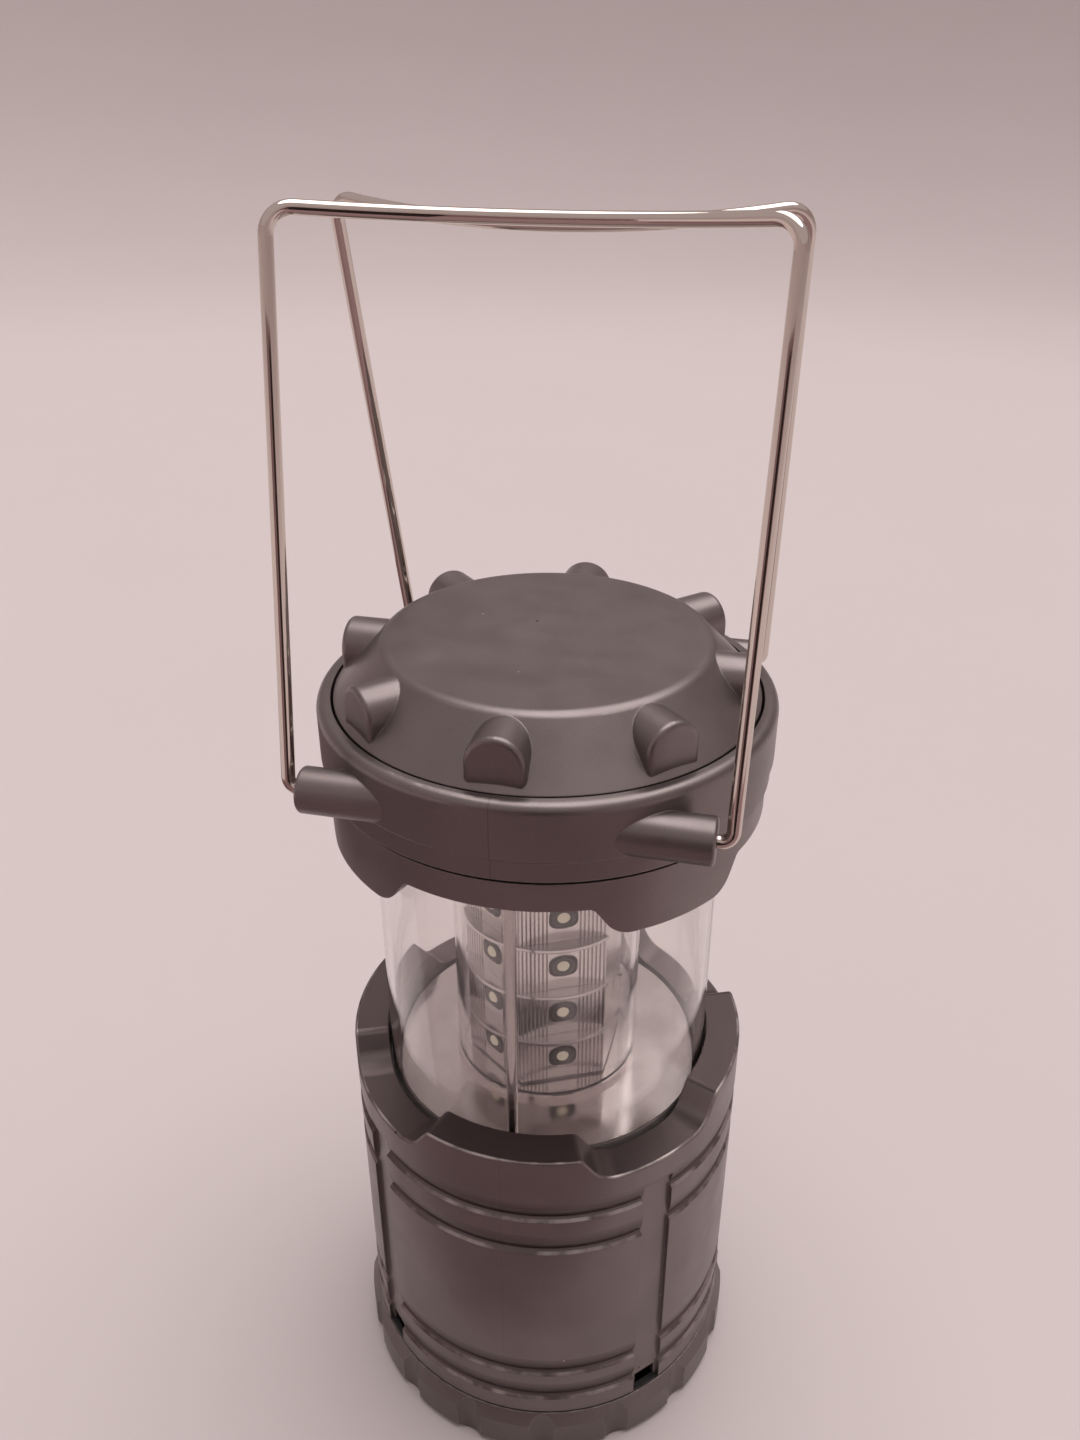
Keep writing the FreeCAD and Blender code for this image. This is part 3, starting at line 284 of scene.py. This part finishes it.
# %% [markdown]
# The drum, its base, the crown, the collar and the cap wear one paint: a warm gunmetal with a satin sheen. It
# could be a plain grey plastic, but the real one has a little metal flake under the gloss, an uneven skin like
# fine orange peel, dust and nicks, and rubbed edges. Each of those is one pattern at its own scale below.

# %% Gunmetal paint
PAINT_DARK = (0.205, 0.176, 0.172)
PAINT_LIGHT = (0.240, 0.207, 0.202)
PAINT_RUBBED = (0.50, 0.45, 0.43)
PAINT_DUST = (0.60, 0.56, 0.54)
PAINT_NICK = (0.012, 0.010, 0.010)
# PAINT_SHADED is the colour of the painted shade on the drum's rim and bands.
PAINT_SHADED = (0.098, 0.073, 0.072)
PAINT_METAL = 0.88
CLOUD_SCALE, FLAKE_SCALE, RUB_SCALE, PEEL_SCALE, SMEAR_SCALE = 45.0, 5200.0, 420.0, 2600.0, 120.0
DUST_SCALE, DUST_SIZE = 150.0, 0.034
NICK_SCALE, NICK_SIZE = 95.0, 0.028
RUB_WIDTH, EDGE_ROUND, PEEL_DEPTH = 0.4 * MM, 0.3 * MM, 0.03 * MM


def gunmetal_paint(name, edge_wear, painted_shade_tone=1.0, rim_wear_and_shade=0.0, parting=0.0):
    """The paint with more or less wear; tone darkens a whole part as painted shade, and rim wear, for the drum alone,
    adds painted shade too.
    """
    finish, tree, shader, place = start_finish(name, PAINT_LIGHT, 0.36, PAINT_METAL)
    dark, light = [tuple(part * painted_shade_tone for part in colour) for colour in (PAINT_DARK, PAINT_LIGHT)]
    colour = shades(tree, spread(tree, cloudy(tree, place, CLOUD_SCALE, 4.0), 0.3, 0.7), dark, light)
    flakes = spread(tree, cloudy(tree, place, FLAKE_SCALE, 2.0), 0.62, 0.80, 0.0, 0.35)
    colour = over(tree, flakes, colour, PAINT_RUBBED)
    patches = spread(tree, cloudy(tree, place, RUB_SCALE), 0.40, 0.62)
    wear = sums(tree, "MULTIPLY", sums(tree, "MULTIPLY", edges(tree, RUB_WIDTH), patches), edge_wear)
    if rim_wear_and_shade:
        # Painted shade: the top of the rim and the bands of the drum are darkened towards PAINT_SHADED.
        colour = over(tree, sums(tree, "MULTIPLY", drum_painted_shade(tree, place), 0.9), colour, PAINT_SHADED)
        wear = sums(tree, "MAXIMUM", wear, sums(tree, "MULTIPLY", worn_rim(tree, place), rim_wear_and_shade))
    colour = over(tree, wear, colour, PAINT_RUBBED)
    skin = cloudy(tree, place, PEEL_SCALE, 3.0)
    if parting:
        line = sums(tree, "MULTIPLY", parting_line(tree, place), parting)
        colour = over(tree, line, colour, PAINT_NICK)
        skin = sums(tree, "SUBTRACT", skin, sums(tree, "MULTIPLY", line, 2.0))
    colour = over(tree, specks(tree, place, DUST_SCALE, DUST_SIZE), colour, PAINT_DUST)
    colour = over(tree, specks(tree, place, NICK_SCALE, NICK_SIZE), colour, PAINT_NICK)
    join(tree, colour, shader.inputs["Base Color"])
    smears = spread(tree, cloudy(tree, place, SMEAR_SCALE, 5.0), 0.3, 0.7, 0.31, 0.41)
    join(tree, smears, shader.inputs["Roughness"])
    bumpy(tree, shader, skin, PEEL_DEPTH, 0.25, soft_edges(tree, EDGE_ROUND))
    return finish


body_paint = gunmetal_paint("body_paint", 0.08, rim_wear_and_shade=0.7, parting=0.10)
# The collar and the base get darker tones of the one paint: painted shade.
collar_paint = gunmetal_paint("collar_paint", 0.4, painted_shade_tone=0.94, parting=0.25)
cap_paint = gunmetal_paint("cap_paint", 0.45)
base_paint = gunmetal_paint("base_paint", 0.8, painted_shade_tone=0.80)
print("paint from", PAINT_DARK, "to", PAINT_LIGHT)

# %% [markdown]
# The globe and the lens tube are clear moulded plastic with real walls, so light bends at both faces. A see-
# through colour would be quicker, but the bright upright lines at the sides of a clear tube come from its
# walls. Handling leaves a faint haze, which is a roughness that varies a little.

# %% Clear plastic
CLEAR_TINT = (0.985, 0.975, 0.97)
CLEAR_BEND = 1.49
HAZE_SCALE = 90.0


def clear_plastic(name, haze):
    finish, tree, shader, place = start_finish(name, CLEAR_TINT, haze)
    shader.inputs["Transmission Weight"].default_value = 1.0
    shader.inputs["IOR"].default_value = CLEAR_BEND
    smears = spread(tree, cloudy(tree, place, HAZE_SCALE, 4.0), 0.35, 0.75, 0.0, haze)
    join(tree, smears, shader.inputs["Roughness"])
    return finish


globe_clear = clear_plastic("globe_clear", 0.05)
lens_clear = clear_plastic("lens_clear", 0.04)
print("clear plastic bends light by", CLEAR_BEND)

# %% [markdown]
# Bright parts: chromed wire for the bails and rods, a vacuum-plated plastic for the core and its floor mirror.
# All are metal to a shader, and what tells them apart is how sharp the reflection is. Wire is drawn, so its
# scratches run along it; plated plastic has a soft skin that clouds the picture in it.

# %% Bright metal
ALONG_BAIL = (1.0, 1.0, 0.06)
ALONG_ROD = (1.0, 1.0, 0.04)
SCRATCH_DEPTH = 0.004 * MM
PLATING_ROUND = 0.6 * MM


def bright_metal(name, colour, sharp, dull, scale, stretch=None, metal=1.0, edge=0.0):
    """A metal whose roughness wanders from sharp to dull; edge is the radius of its rolled edges."""
    finish, tree, shader, place = start_finish(name, colour, sharp, metal)
    streaks = cloudy(tree, place, scale, 4.0, stretch)
    join(tree, spread(tree, streaks, 0.3, 0.7, sharp, dull), shader.inputs["Roughness"])
    rolled = soft_edges(tree, edge) if edge else None
    bumpy(tree, shader, streaks, SCRATCH_DEPTH, 0.3, rolled)
    return finish


wire_chrome = bright_metal("wire_chrome", (0.68, 0.605, 0.55), 0.03, 0.08, 900.0, ALONG_BAIL)
rod_steel = bright_metal("rod_steel", (0.44, 0.385, 0.375), 0.10, 0.20, 900.0, ALONG_ROD)
core_plating = bright_metal("core_plating", (0.93, 0.885, 0.87), 0.14, 0.24, 240.0, metal=0.85,
                            edge=PLATING_ROUND)
rib_plating = bright_metal("rib_plating", (0.46, 0.41, 0.40), 0.16, 0.26, 240.0)
floor_mirror = bright_metal("floor_mirror", (0.72, 0.655, 0.64), 0.12, 0.24, 120.0)
screw_steel = bright_metal("screw_steel", (0.55, 0.54, 0.53), 0.22, 0.38, 600.0)
contact_brass = bright_metal("contact_brass", (0.72, 0.52, 0.24), 0.18, 0.34, 500.0)
print("seven bright metals are ready")

# %% [markdown]
# The inside is moulded in plastics and rubber. A mould for such parts is spark-eroded, which leaves a fine even
# grain, so a plain colour would look like paper: the grain is a small bump that also varies the gloss. The head
# plate is the white ceiling of the globe, with a black edge that shows in a gap, so its colour changes with height.

# %% Moulded plastics
GRAIN_SCALE = 1400.0
GRAIN_DEPTH = 0.02 * MM
TINT_SCALE = 80.0
PLATE_EDGE = 2.1 * MM
PLATE_DARK, PLATE_LIGHT = (0.70, 0.67, 0.655), (0.76, 0.735, 0.72)
PLATE_BLACK = (0.02, 0.019, 0.019)


def moulded(name, dark, light, roughness, edge_from=None):
    """A moulded plastic, black above a height if one is given."""
    finish, tree, shader, place = start_finish(name, light, roughness)
    colour = shades(tree, cloudy(tree, place, TINT_SCALE, 3.0), dark, light)
    if edge_from is not None:
        on_edge = sums(tree, "GREATER_THAN", parts_of(tree, place)["Z"], edge_from)
        colour = over(tree, on_edge, colour, PLATE_BLACK)
    join(tree, colour, shader.inputs["Base Color"])
    grain = cloudy(tree, place, GRAIN_SCALE, 3.0)
    join(tree, spread(tree, grain, 0.3, 0.7, roughness - 0.06, roughness + 0.06), shader.inputs["Roughness"])
    bumpy(tree, shader, grain, GRAIN_DEPTH, 0.3)
    return finish


plate_white = moulded("plate_white", PLATE_DARK, PLATE_LIGHT, 0.40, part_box("head_plate")[1].z - PLATE_EDGE)
white_plastic = moulded("white_plastic", (0.66, 0.61, 0.585), (0.74, 0.69, 0.665), 0.42)
black_plastic = moulded("black_plastic", (0.018, 0.017, 0.017), (0.032, 0.030, 0.030), 0.48)
rubber = moulded("seal_rubber", (0.014, 0.014, 0.014), (0.024, 0.024, 0.024), 0.75)
print("four moulded finishes are ready, with a grain", round(GRAIN_DEPTH / MM, 2), "mm deep")

# %% [markdown]
# The cells wear a dark sleeve with one plain band, and the driver board has copper tracks under white lacquer. Both
# could be labels or pictures, but a step at one height and a brick pattern say enough about pieces that only show
# when the lantern is taken apart.

# %% Cells and board
CELL_BAND_FROM = 12.0 * MM
CELL_BAND = (0.42, 0.24, 0.10)
CELL_DARK, CELL_LIGHT = (0.02, 0.02, 0.024), (0.04, 0.04, 0.046)
TRACK_SCALE = 180.0
TRACK_DEPTH = 0.03 * MM
TRACK_COLOUR = (0.62, 0.60, 0.53)
LACQUER_DARK, LACQUER_LIGHT = (0.74, 0.74, 0.70), (0.80, 0.80, 0.76)


def cell_sleeve(name):
    """A dark sleeve with one plain metal-coloured band at an end."""
    finish, tree, shader, place = start_finish(name, CELL_LIGHT, 0.3)
    band = sums(tree, "GREATER_THAN", parts_of(tree, place)["X"], CELL_BAND_FROM)
    dark = shades(tree, cloudy(tree, place, 300.0), CELL_DARK, CELL_LIGHT)
    join(tree, over(tree, band, dark, CELL_BAND), shader.inputs["Base Color"])
    join(tree, spread(tree, cloudy(tree, place, 200.0), 0.3, 0.7, 0.24, 0.36), shader.inputs["Roughness"])
    return finish


def circuit_board(name):
    """White lacquer over copper tracks, which show as faint lines."""
    finish, tree, shader, place = start_finish(name, LACQUER_LIGHT, 0.35)
    tracks = add(tree, "TexBrick", Scale=TRACK_SCALE, Mortar_Size=0.03)
    join(tree, place, tracks.inputs["Vector"])
    lacquer = shades(tree, cloudy(tree, place, 250.0), LACQUER_DARK, LACQUER_LIGHT)
    join(tree, over(tree, tracks.outputs["Fac"], lacquer, TRACK_COLOUR), shader.inputs["Base Color"])
    bumpy(tree, shader, tracks.outputs["Fac"], TRACK_DEPTH, 0.4)
    return finish


cell_can = cell_sleeve("cell_sleeve")
board = circuit_board("circuit_board")
print("cells have a band from", round(CELL_BAND_FROM / MM), "mm, the board has tracks")

# %% [markdown]
# A lamp is a clear epoxy dome over a yellow phosphor. The dome could bend light like the globe, but it is so small
# that a thin see-through skin with a gloss looks the same and is cleaner. The phosphor is a small piece of its own
# under the dome, and glows faintly: a painted glow, though the lamps are not lit, for light the clear walls keep out.

# %% Lamp finishes
DOME_COLOUR = (0.95, 0.85, 0.80)
DOME_COVER = 0.13
PHOSPHOR_DARK, PHOSPHOR_LIGHT = (0.76, 0.64, 0.44), (0.92, 0.82, 0.64)
PHOSPHOR_GLOW = (0.95, 0.82, 0.64)
PHOSPHOR_GLOW_STRENGTH = 0.3
PHOSPHOR_GRAIN_DEPTH = 0.03 * MM


def epoxy_dome(name):
    """Clear epoxy so thin that it hardly bends light: see-through, with a glossy skin."""
    finish, tree, shader, place = start_finish(name, DOME_COLOUR, 0.06)
    shader.inputs["Alpha"].default_value = DOME_COVER
    smears = spread(tree, cloudy(tree, place, 700.0, 3.0), 0.3, 0.7, 0.03, 0.10)
    join(tree, smears, shader.inputs["Roughness"])
    return finish


def phosphor(name):
    """A grainy pale yellow with a faint painted glow."""
    finish, tree, shader, place = start_finish(name, PHOSPHOR_LIGHT, 0.6)
    # Painted light: the phosphor glows though the lamp is not lit.
    shader.inputs["Emission Color"].default_value = (*PHOSPHOR_GLOW, 1.0)
    shader.inputs["Emission Strength"].default_value = PHOSPHOR_GLOW_STRENGTH
    grains = cloudy(tree, place, 4000.0, 3.0)
    join(tree, shades(tree, grains, PHOSPHOR_DARK, PHOSPHOR_LIGHT), shader.inputs["Base Color"])
    bumpy(tree, shader, grains, PHOSPHOR_GRAIN_DEPTH, 0.4)
    return finish


lamp_dome = epoxy_dome("lamp_dome")
lamp_phosphor = phosphor("lamp_phosphor")
print("a dome covers", DOME_COVER, "of what is under it")

# %% [markdown]
# Each solid now gets its finish in its own material slot. A list of finish and pieces is easier to read, and to
# change, than a line for every piece.

# %% Dress the solids
dressing = {
    body_paint: ["body_shell"],
    collar_paint: ["handle_collar"],
    cap_paint: ["crown_ring", "top_cap"],
    base_paint: ["base_cap"],
    rubber: ["base_seal"],
    black_plastic: ["guide_sleeve", "battery_tray", "driver_components"],
    white_plastic: ["carrier"],
    plate_white: ["head_plate"],
    cell_can: ["battery_1", "battery_2", "battery_3"],
    contact_brass: ["contact_plates", "contact_strips", "contact_fingers"],
    screw_steel: ["contact_springs", "deck_screws", "head_screws", "rod_nuts"],
    rod_steel: ["front_rod", "back_rod"],
    floor_mirror: ["reflector_disc"],
    globe_clear: ["globe"],
    lens_clear: ["lens_tube"],
    core_plating: ["front_reflector", "back_reflector"],
    wire_chrome: ["front_bail", "back_bail"],
    board: ["driver_board"],
}
FACES = {"front_left": -30.0, "front_right": 30.0, "back_right": 150.0, "back_left": -150.0}
for face in FACES:
    dressing[black_plastic].append(f"led_board_{face}")
    dressing.setdefault(lamp_dome, []).append(f"leds_{face}")

for finish, names in dressing.items():
    for name in names:
        slots = nodes[name].data.materials
        slots.clear()
        slots.append(finish)
bare = sorted(set(nodes) - {name for names in dressing.values() for name in names})
print("dressed", len(nodes) - len(bare), "solids, bare:", bare)

# %% [markdown]
# New pieces are drawn in a bmesh, which is a mesh on the workbench: operators shape it, and it is then written to a
# mesh that an object shows. A piece of the lantern also has to ride on the body that carries it, and to say
# which kind of material it is.

# %% Helper for new pieces
def object_from(name, bm, finish):
    """Writes a bmesh to a new object, with its finish."""
    mesh = bpy.data.meshes.new(name)
    bm.to_mesh(mesh)
    bm.free()
    mesh.materials.append(finish)
    piece = bpy.data.objects.new(name, mesh)
    scene.collection.objects.link(piece)
    return piece


def finished(name, bm, finish, body):
    """Turns a bmesh into a piece that rides on a body."""
    bmesh.ops.recalc_face_normals(bm, faces=bm.faces)
    piece = object_from(name, bm, finish)
    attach(piece, body)
    return piece


print("ready to make pieces")

# %% [markdown]
# The plated core is ribbed: fine upright ridges beside each column of lamps throw the light sideways. They
# could be a bump in the finish, but ridges this size catch real highlights and are cut off by the shelves, so
# they are modelled. One ridge is a three-sided bar, made from a cone with three sides, and a loop repeats it.

# %% Ribs on the core
CORE_TURN = -5.0
CORE_FLAT = 17.0 * MM * math.cos(math.radians(30.0))
RIB_PITCH = 0.8 * MM
RIB_SIZE = 0.22 * MM
RIB_FIRST = 3.3 * MM
RIBS_EACH_SIDE = 7
core_low, core_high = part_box("front_reflector")
core_height = core_high.z - core_low.z


def face_matrix(bearing):
    """From a face's own axes, with +X across it and -Y out of it, to the lantern's."""
    return Matrix.Rotation(math.radians(CORE_TURN + bearing), 4, "Z")


def add_rib(bm, matrix, across):
    """One upright ridge, with its flat side on the face of the core."""
    place = matrix @ Matrix.Translation((across, -CORE_FLAT, core_low.z + core_height / 2))
    turn = Matrix.Rotation(math.radians(-90.0), 4, "Z")
    bmesh.ops.create_cone(bm, cap_ends=True, segments=3, radius1=RIB_SIZE, radius2=RIB_SIZE,
                          depth=core_height, matrix=place @ turn)


for face, bearing in FACES.items():
    ribs = bmesh.new()
    for side in (-1, 1):
        for index in range(RIBS_EACH_SIDE):
            add_rib(ribs, face_matrix(bearing), side * (RIB_FIRST + index * RIB_PITCH))
    piece = finished(f"core_ribs_{face}", ribs, rib_plating, "head")
    print(piece.name, len(piece.data.polygons), "faces")

# %% [markdown]
# Each lamp looks out through a small dark window in the plating. The window is a thin plate with round corners,
# and the phosphor is a flat cone on it, under the clear dome. Both could be painted on the core, but then they would
# lie flat behind the ribs. The rows are read from the lamps' own box, so that they stay with the lamps.

# %% Lamp windows and phosphor
WINDOW_WIDTH = 5.7 * MM
WINDOW_HEIGHT = 4.9 * MM
WINDOW_THICKNESS = 0.16 * MM
WINDOW_ROUND = 1.7 * MM
PHOSPHOR_RADIUS = 1.25 * MM
PHOSPHOR_TAPER = 0.75
PHOSPHOR_HEIGHT = 0.4 * MM
LAMP_RADIUS = 2.3 * MM
LAMP_ROWS = 5
NEARLY_PARALLEL = 0.9


def lamp_levels(face):
    """The heights of a column of lamps."""
    low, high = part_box(f"leds_{face}")
    first = low.z + LAMP_RADIUS
    step = (high.z - low.z - 2 * LAMP_RADIUS) / (LAMP_ROWS - 1)
    return [first + step * row for row in range(LAMP_ROWS)]


def add_window(bm, place):
    """One dark plate with round corners, half sunk in the face of the core."""
    shape = Matrix.Diagonal((WINDOW_WIDTH, WINDOW_THICKNESS, WINDOW_HEIGHT, 1.0))
    made = bmesh.ops.create_cube(bm, size=1.0, matrix=place @ shape)
    outwards = place.to_3x3() @ Vector((0.0, 1.0, 0.0))
    rim = {edge for vertex in made["verts"] for edge in vertex.link_edges}
    corners = [edge for edge in rim
               if abs((edge.verts[1].co - edge.verts[0].co).normalized().dot(outwards)) > NEARLY_PARALLEL]
    bmesh.ops.bevel(bm, geom=corners, offset=WINDOW_ROUND, affect="EDGES", segments=6, profile=0.5, material=-1)


def add_phosphor(bm, place):
    """One flat cone on the front of a window."""
    seat = Matrix.Translation((0.0, -(WINDOW_THICKNESS + PHOSPHOR_HEIGHT) / 2, 0.0))
    facing = Matrix.Rotation(math.radians(90.0), 4, "X")
    bmesh.ops.create_cone(bm, cap_ends=True, segments=24, radius1=PHOSPHOR_RADIUS,
                          radius2=PHOSPHOR_RADIUS * PHOSPHOR_TAPER, depth=PHOSPHOR_HEIGHT,
                          matrix=place @ seat @ facing)


for face, bearing in FACES.items():
    windows = bmesh.new()
    discs = bmesh.new()
    levels = lamp_levels(face)
    for level in levels:
        place = face_matrix(bearing) @ Matrix.Translation((0.0, -CORE_FLAT, level))
        add_window(windows, place)
        add_phosphor(discs, place)
    finished(f"lamp_windows_{face}", windows, black_plastic, "head")
    finished(f"phosphor_{face}", discs, lamp_phosphor, "head")
    print(face, "lamps at", [round(level / MM, 1) for level in levels], "mm")

# %% [markdown]
# The stage is a pale floor that curves up into a wall all round, as in a photo studio. A flat floor would end in a
# horizon, which shows behind the lantern from every side. A profile of floor, curve and wall is spun once round the
# lantern, and the doubles where the spin closes are merged.

# %% Floor
FLOOR_RADIUS = 1.5
FLOOR_CURVE = 0.7
FLOOR_CURVE_STEPS = 8
FLOOR_SIDES = 64
WALL_HEIGHT = 1.3
STAGE_COLOUR = (0.70, 0.615, 0.61)
STAGE_SHADE = 0.96


def matt_finish(name, colour):
    """A matt paint for the stage, with broad faint clouds."""
    finish, tree, shader, place = start_finish(name, colour, 0.8)
    dark = tuple(part * STAGE_SHADE for part in colour)
    join(tree, shades(tree, cloudy(tree, place, 5.0, 3.0), dark, colour), shader.inputs["Base Color"])
    shader.inputs["Specular IOR Level"].default_value = 0.2
    return finish


studio = bmesh.new()
profile = [studio.verts.new((0.0, 0.0, 0.0)), studio.verts.new((FLOOR_RADIUS, 0.0, 0.0))]
for step in range(1, FLOOR_CURVE_STEPS + 1):
    angle = step / FLOOR_CURVE_STEPS * math.pi / 2
    reach = FLOOR_RADIUS + FLOOR_CURVE * math.sin(angle)
    profile.append(studio.verts.new((reach, 0.0, FLOOR_CURVE * (1 - math.cos(angle)))))
profile.append(studio.verts.new((FLOOR_RADIUS + FLOOR_CURVE, 0.0, WALL_HEIGHT)))
for start, end in zip(profile, profile[1:]):
    studio.edges.new((start, end))
bmesh.ops.spin(studio, geom=studio.verts[:] + studio.edges[:], cent=(0, 0, 0), axis=(0, 0, 1),
               angle=2 * math.pi, steps=FLOOR_SIDES, use_merge=True)
bmesh.ops.remove_doubles(studio, verts=studio.verts, dist=1e-5)
bmesh.ops.recalc_face_normals(studio, faces=studio.faces)
floor = object_from("floor", studio, matt_finish("pale_floor", STAGE_COLOUR))
for polygon in floor.data.polygons:
    polygon.use_smooth = True
print("floor", FLOOR_RADIUS, "m to the curve, wall", WALL_HEIGHT, "m high")

# %% [markdown]
# In a pale studio bright metal has nothing dark to show, and looks like white plastic. A photographer puts up dark
# cards outside the picture, and so does this cell: one lies in front, and others stand far in front, at the left and
# behind the camera. Only reflections meet them, so they throw no shadow and take no light from the lantern.

# %% Dark cards
CARD_COLOUR = (0.33, 0.222, 0.232)
BLACK_CARD_COLOUR = (0.035, 0.026, 0.024)
UPRIGHT = Matrix.Rotation(math.radians(90.0), 4, "X")
SIDEWAYS = Matrix.Rotation(math.radians(90.0), 4, "Z") @ UPRIGHT
ASKEW = Matrix.Rotation(math.radians(-8.0), 4, "Z")
dark_card = matt_finish("dark_card", CARD_COLOUR)
black_card = matt_finish("black_card", BLACK_CARD_COLOUR)
cards = {
    "front_card": (Vector((0.05, -0.44, 0.004)), (0.50, 0.36), ASKEW, dark_card),
    "far_card": (Vector((0.05, -0.80, 0.20)), (0.50, 0.196), UPRIGHT, dark_card),
    "left_card": (Vector((-0.15, -0.05, 0.078)), (0.20, 0.036), SIDEWAYS, dark_card),
    "camera_card": (Vector((0.09, -0.35, 0.165)), (0.09, 0.135), UPRIGHT, black_card),
}
for name, (place, (half_width, half_depth), turn, finish) in cards.items():
    sheet = bmesh.new()
    shape = Matrix.Diagonal((half_width, half_depth, 1.0, 1.0))
    bmesh.ops.create_grid(sheet, x_segments=1, y_segments=1, size=1.0,
                          matrix=Matrix.Translation(place) @ turn @ shape)
    card = object_from(name, sheet, finish)
    card.visible_camera = False
    card.visible_transmission = False
    card.visible_diffuse = False
    card.visible_shadow = False
    print(name, "is", round(place.length, 2), "m away")

# %% [markdown]
# The sky does two jobs. It opens the shadows with a dim even light, and it is what the camera, metal and clear
# plastic see above the wall. One strength can't do both, so the light path chooses: rays that look see a pale
# colour, and rays that light get a weaker one.

# %% Sky
SKY_SEEN = (0.50, 0.43, 0.425)
SKY_LIGHT = 0.38
SKY_LIGHT_COLOUR = (1.0, 0.96, 0.95)

world = bpy.data.worlds.new("sky")
scene.world = world
world.use_nodes = True
sky = world.node_tree
seen = sky.nodes["Background"]
seen.inputs["Color"].default_value = (*SKY_SEEN, 1.0)
lighting = add(sky, "Background", Strength=SKY_LIGHT)
lighting.inputs["Color"].default_value = (*SKY_LIGHT_COLOUR, 1.0)
path = add(sky, "LightPath")
looks = sums(sky, "MAXIMUM", path.outputs["Is Camera Ray"], path.outputs["Is Glossy Ray"])
looks = sums(sky, "MAXIMUM", looks, path.outputs["Is Transmission Ray"])
either = add(sky, "MixShader")
join(sky, looks, either.inputs["Fac"])
join(sky, lighting.outputs["Background"], either.inputs[1])
join(sky, seen.outputs["Background"], either.inputs[2])
join(sky, either.outputs["Shader"], sky.nodes["World Output"].inputs["Surface"])
print("sky seen as", SKY_SEEN, "lights with", SKY_LIGHT)

# %% [markdown]
# The main light is soft and comes from above. An area lamp would leave a pool of brightness on the floor; a sun
# gives the same light everywhere, and a very wide one has shadows as soft as a large lamp's.

# %% Sun
SUN_STRENGTH = 2.0
SUN_SOFTNESS = math.radians(60.0)
SUN_FROM = Vector((0.12, 0.22, 1.0))
SUN_COLOUR = (1.0, 0.965, 0.95)

sun_data = bpy.data.lights.new("soft_sun", "SUN")
sun_data.energy = SUN_STRENGTH
sun_data.angle = SUN_SOFTNESS
sun_data.color = SUN_COLOUR
sun = bpy.data.objects.new("soft_sun", sun_data)
sun.rotation_euler = SUN_FROM.to_track_quat("Z", "Y").to_euler()
scene.collection.objects.link(sun)
print("sun from", [round(part, 2) for part in SUN_FROM], "strength", SUN_STRENGTH)
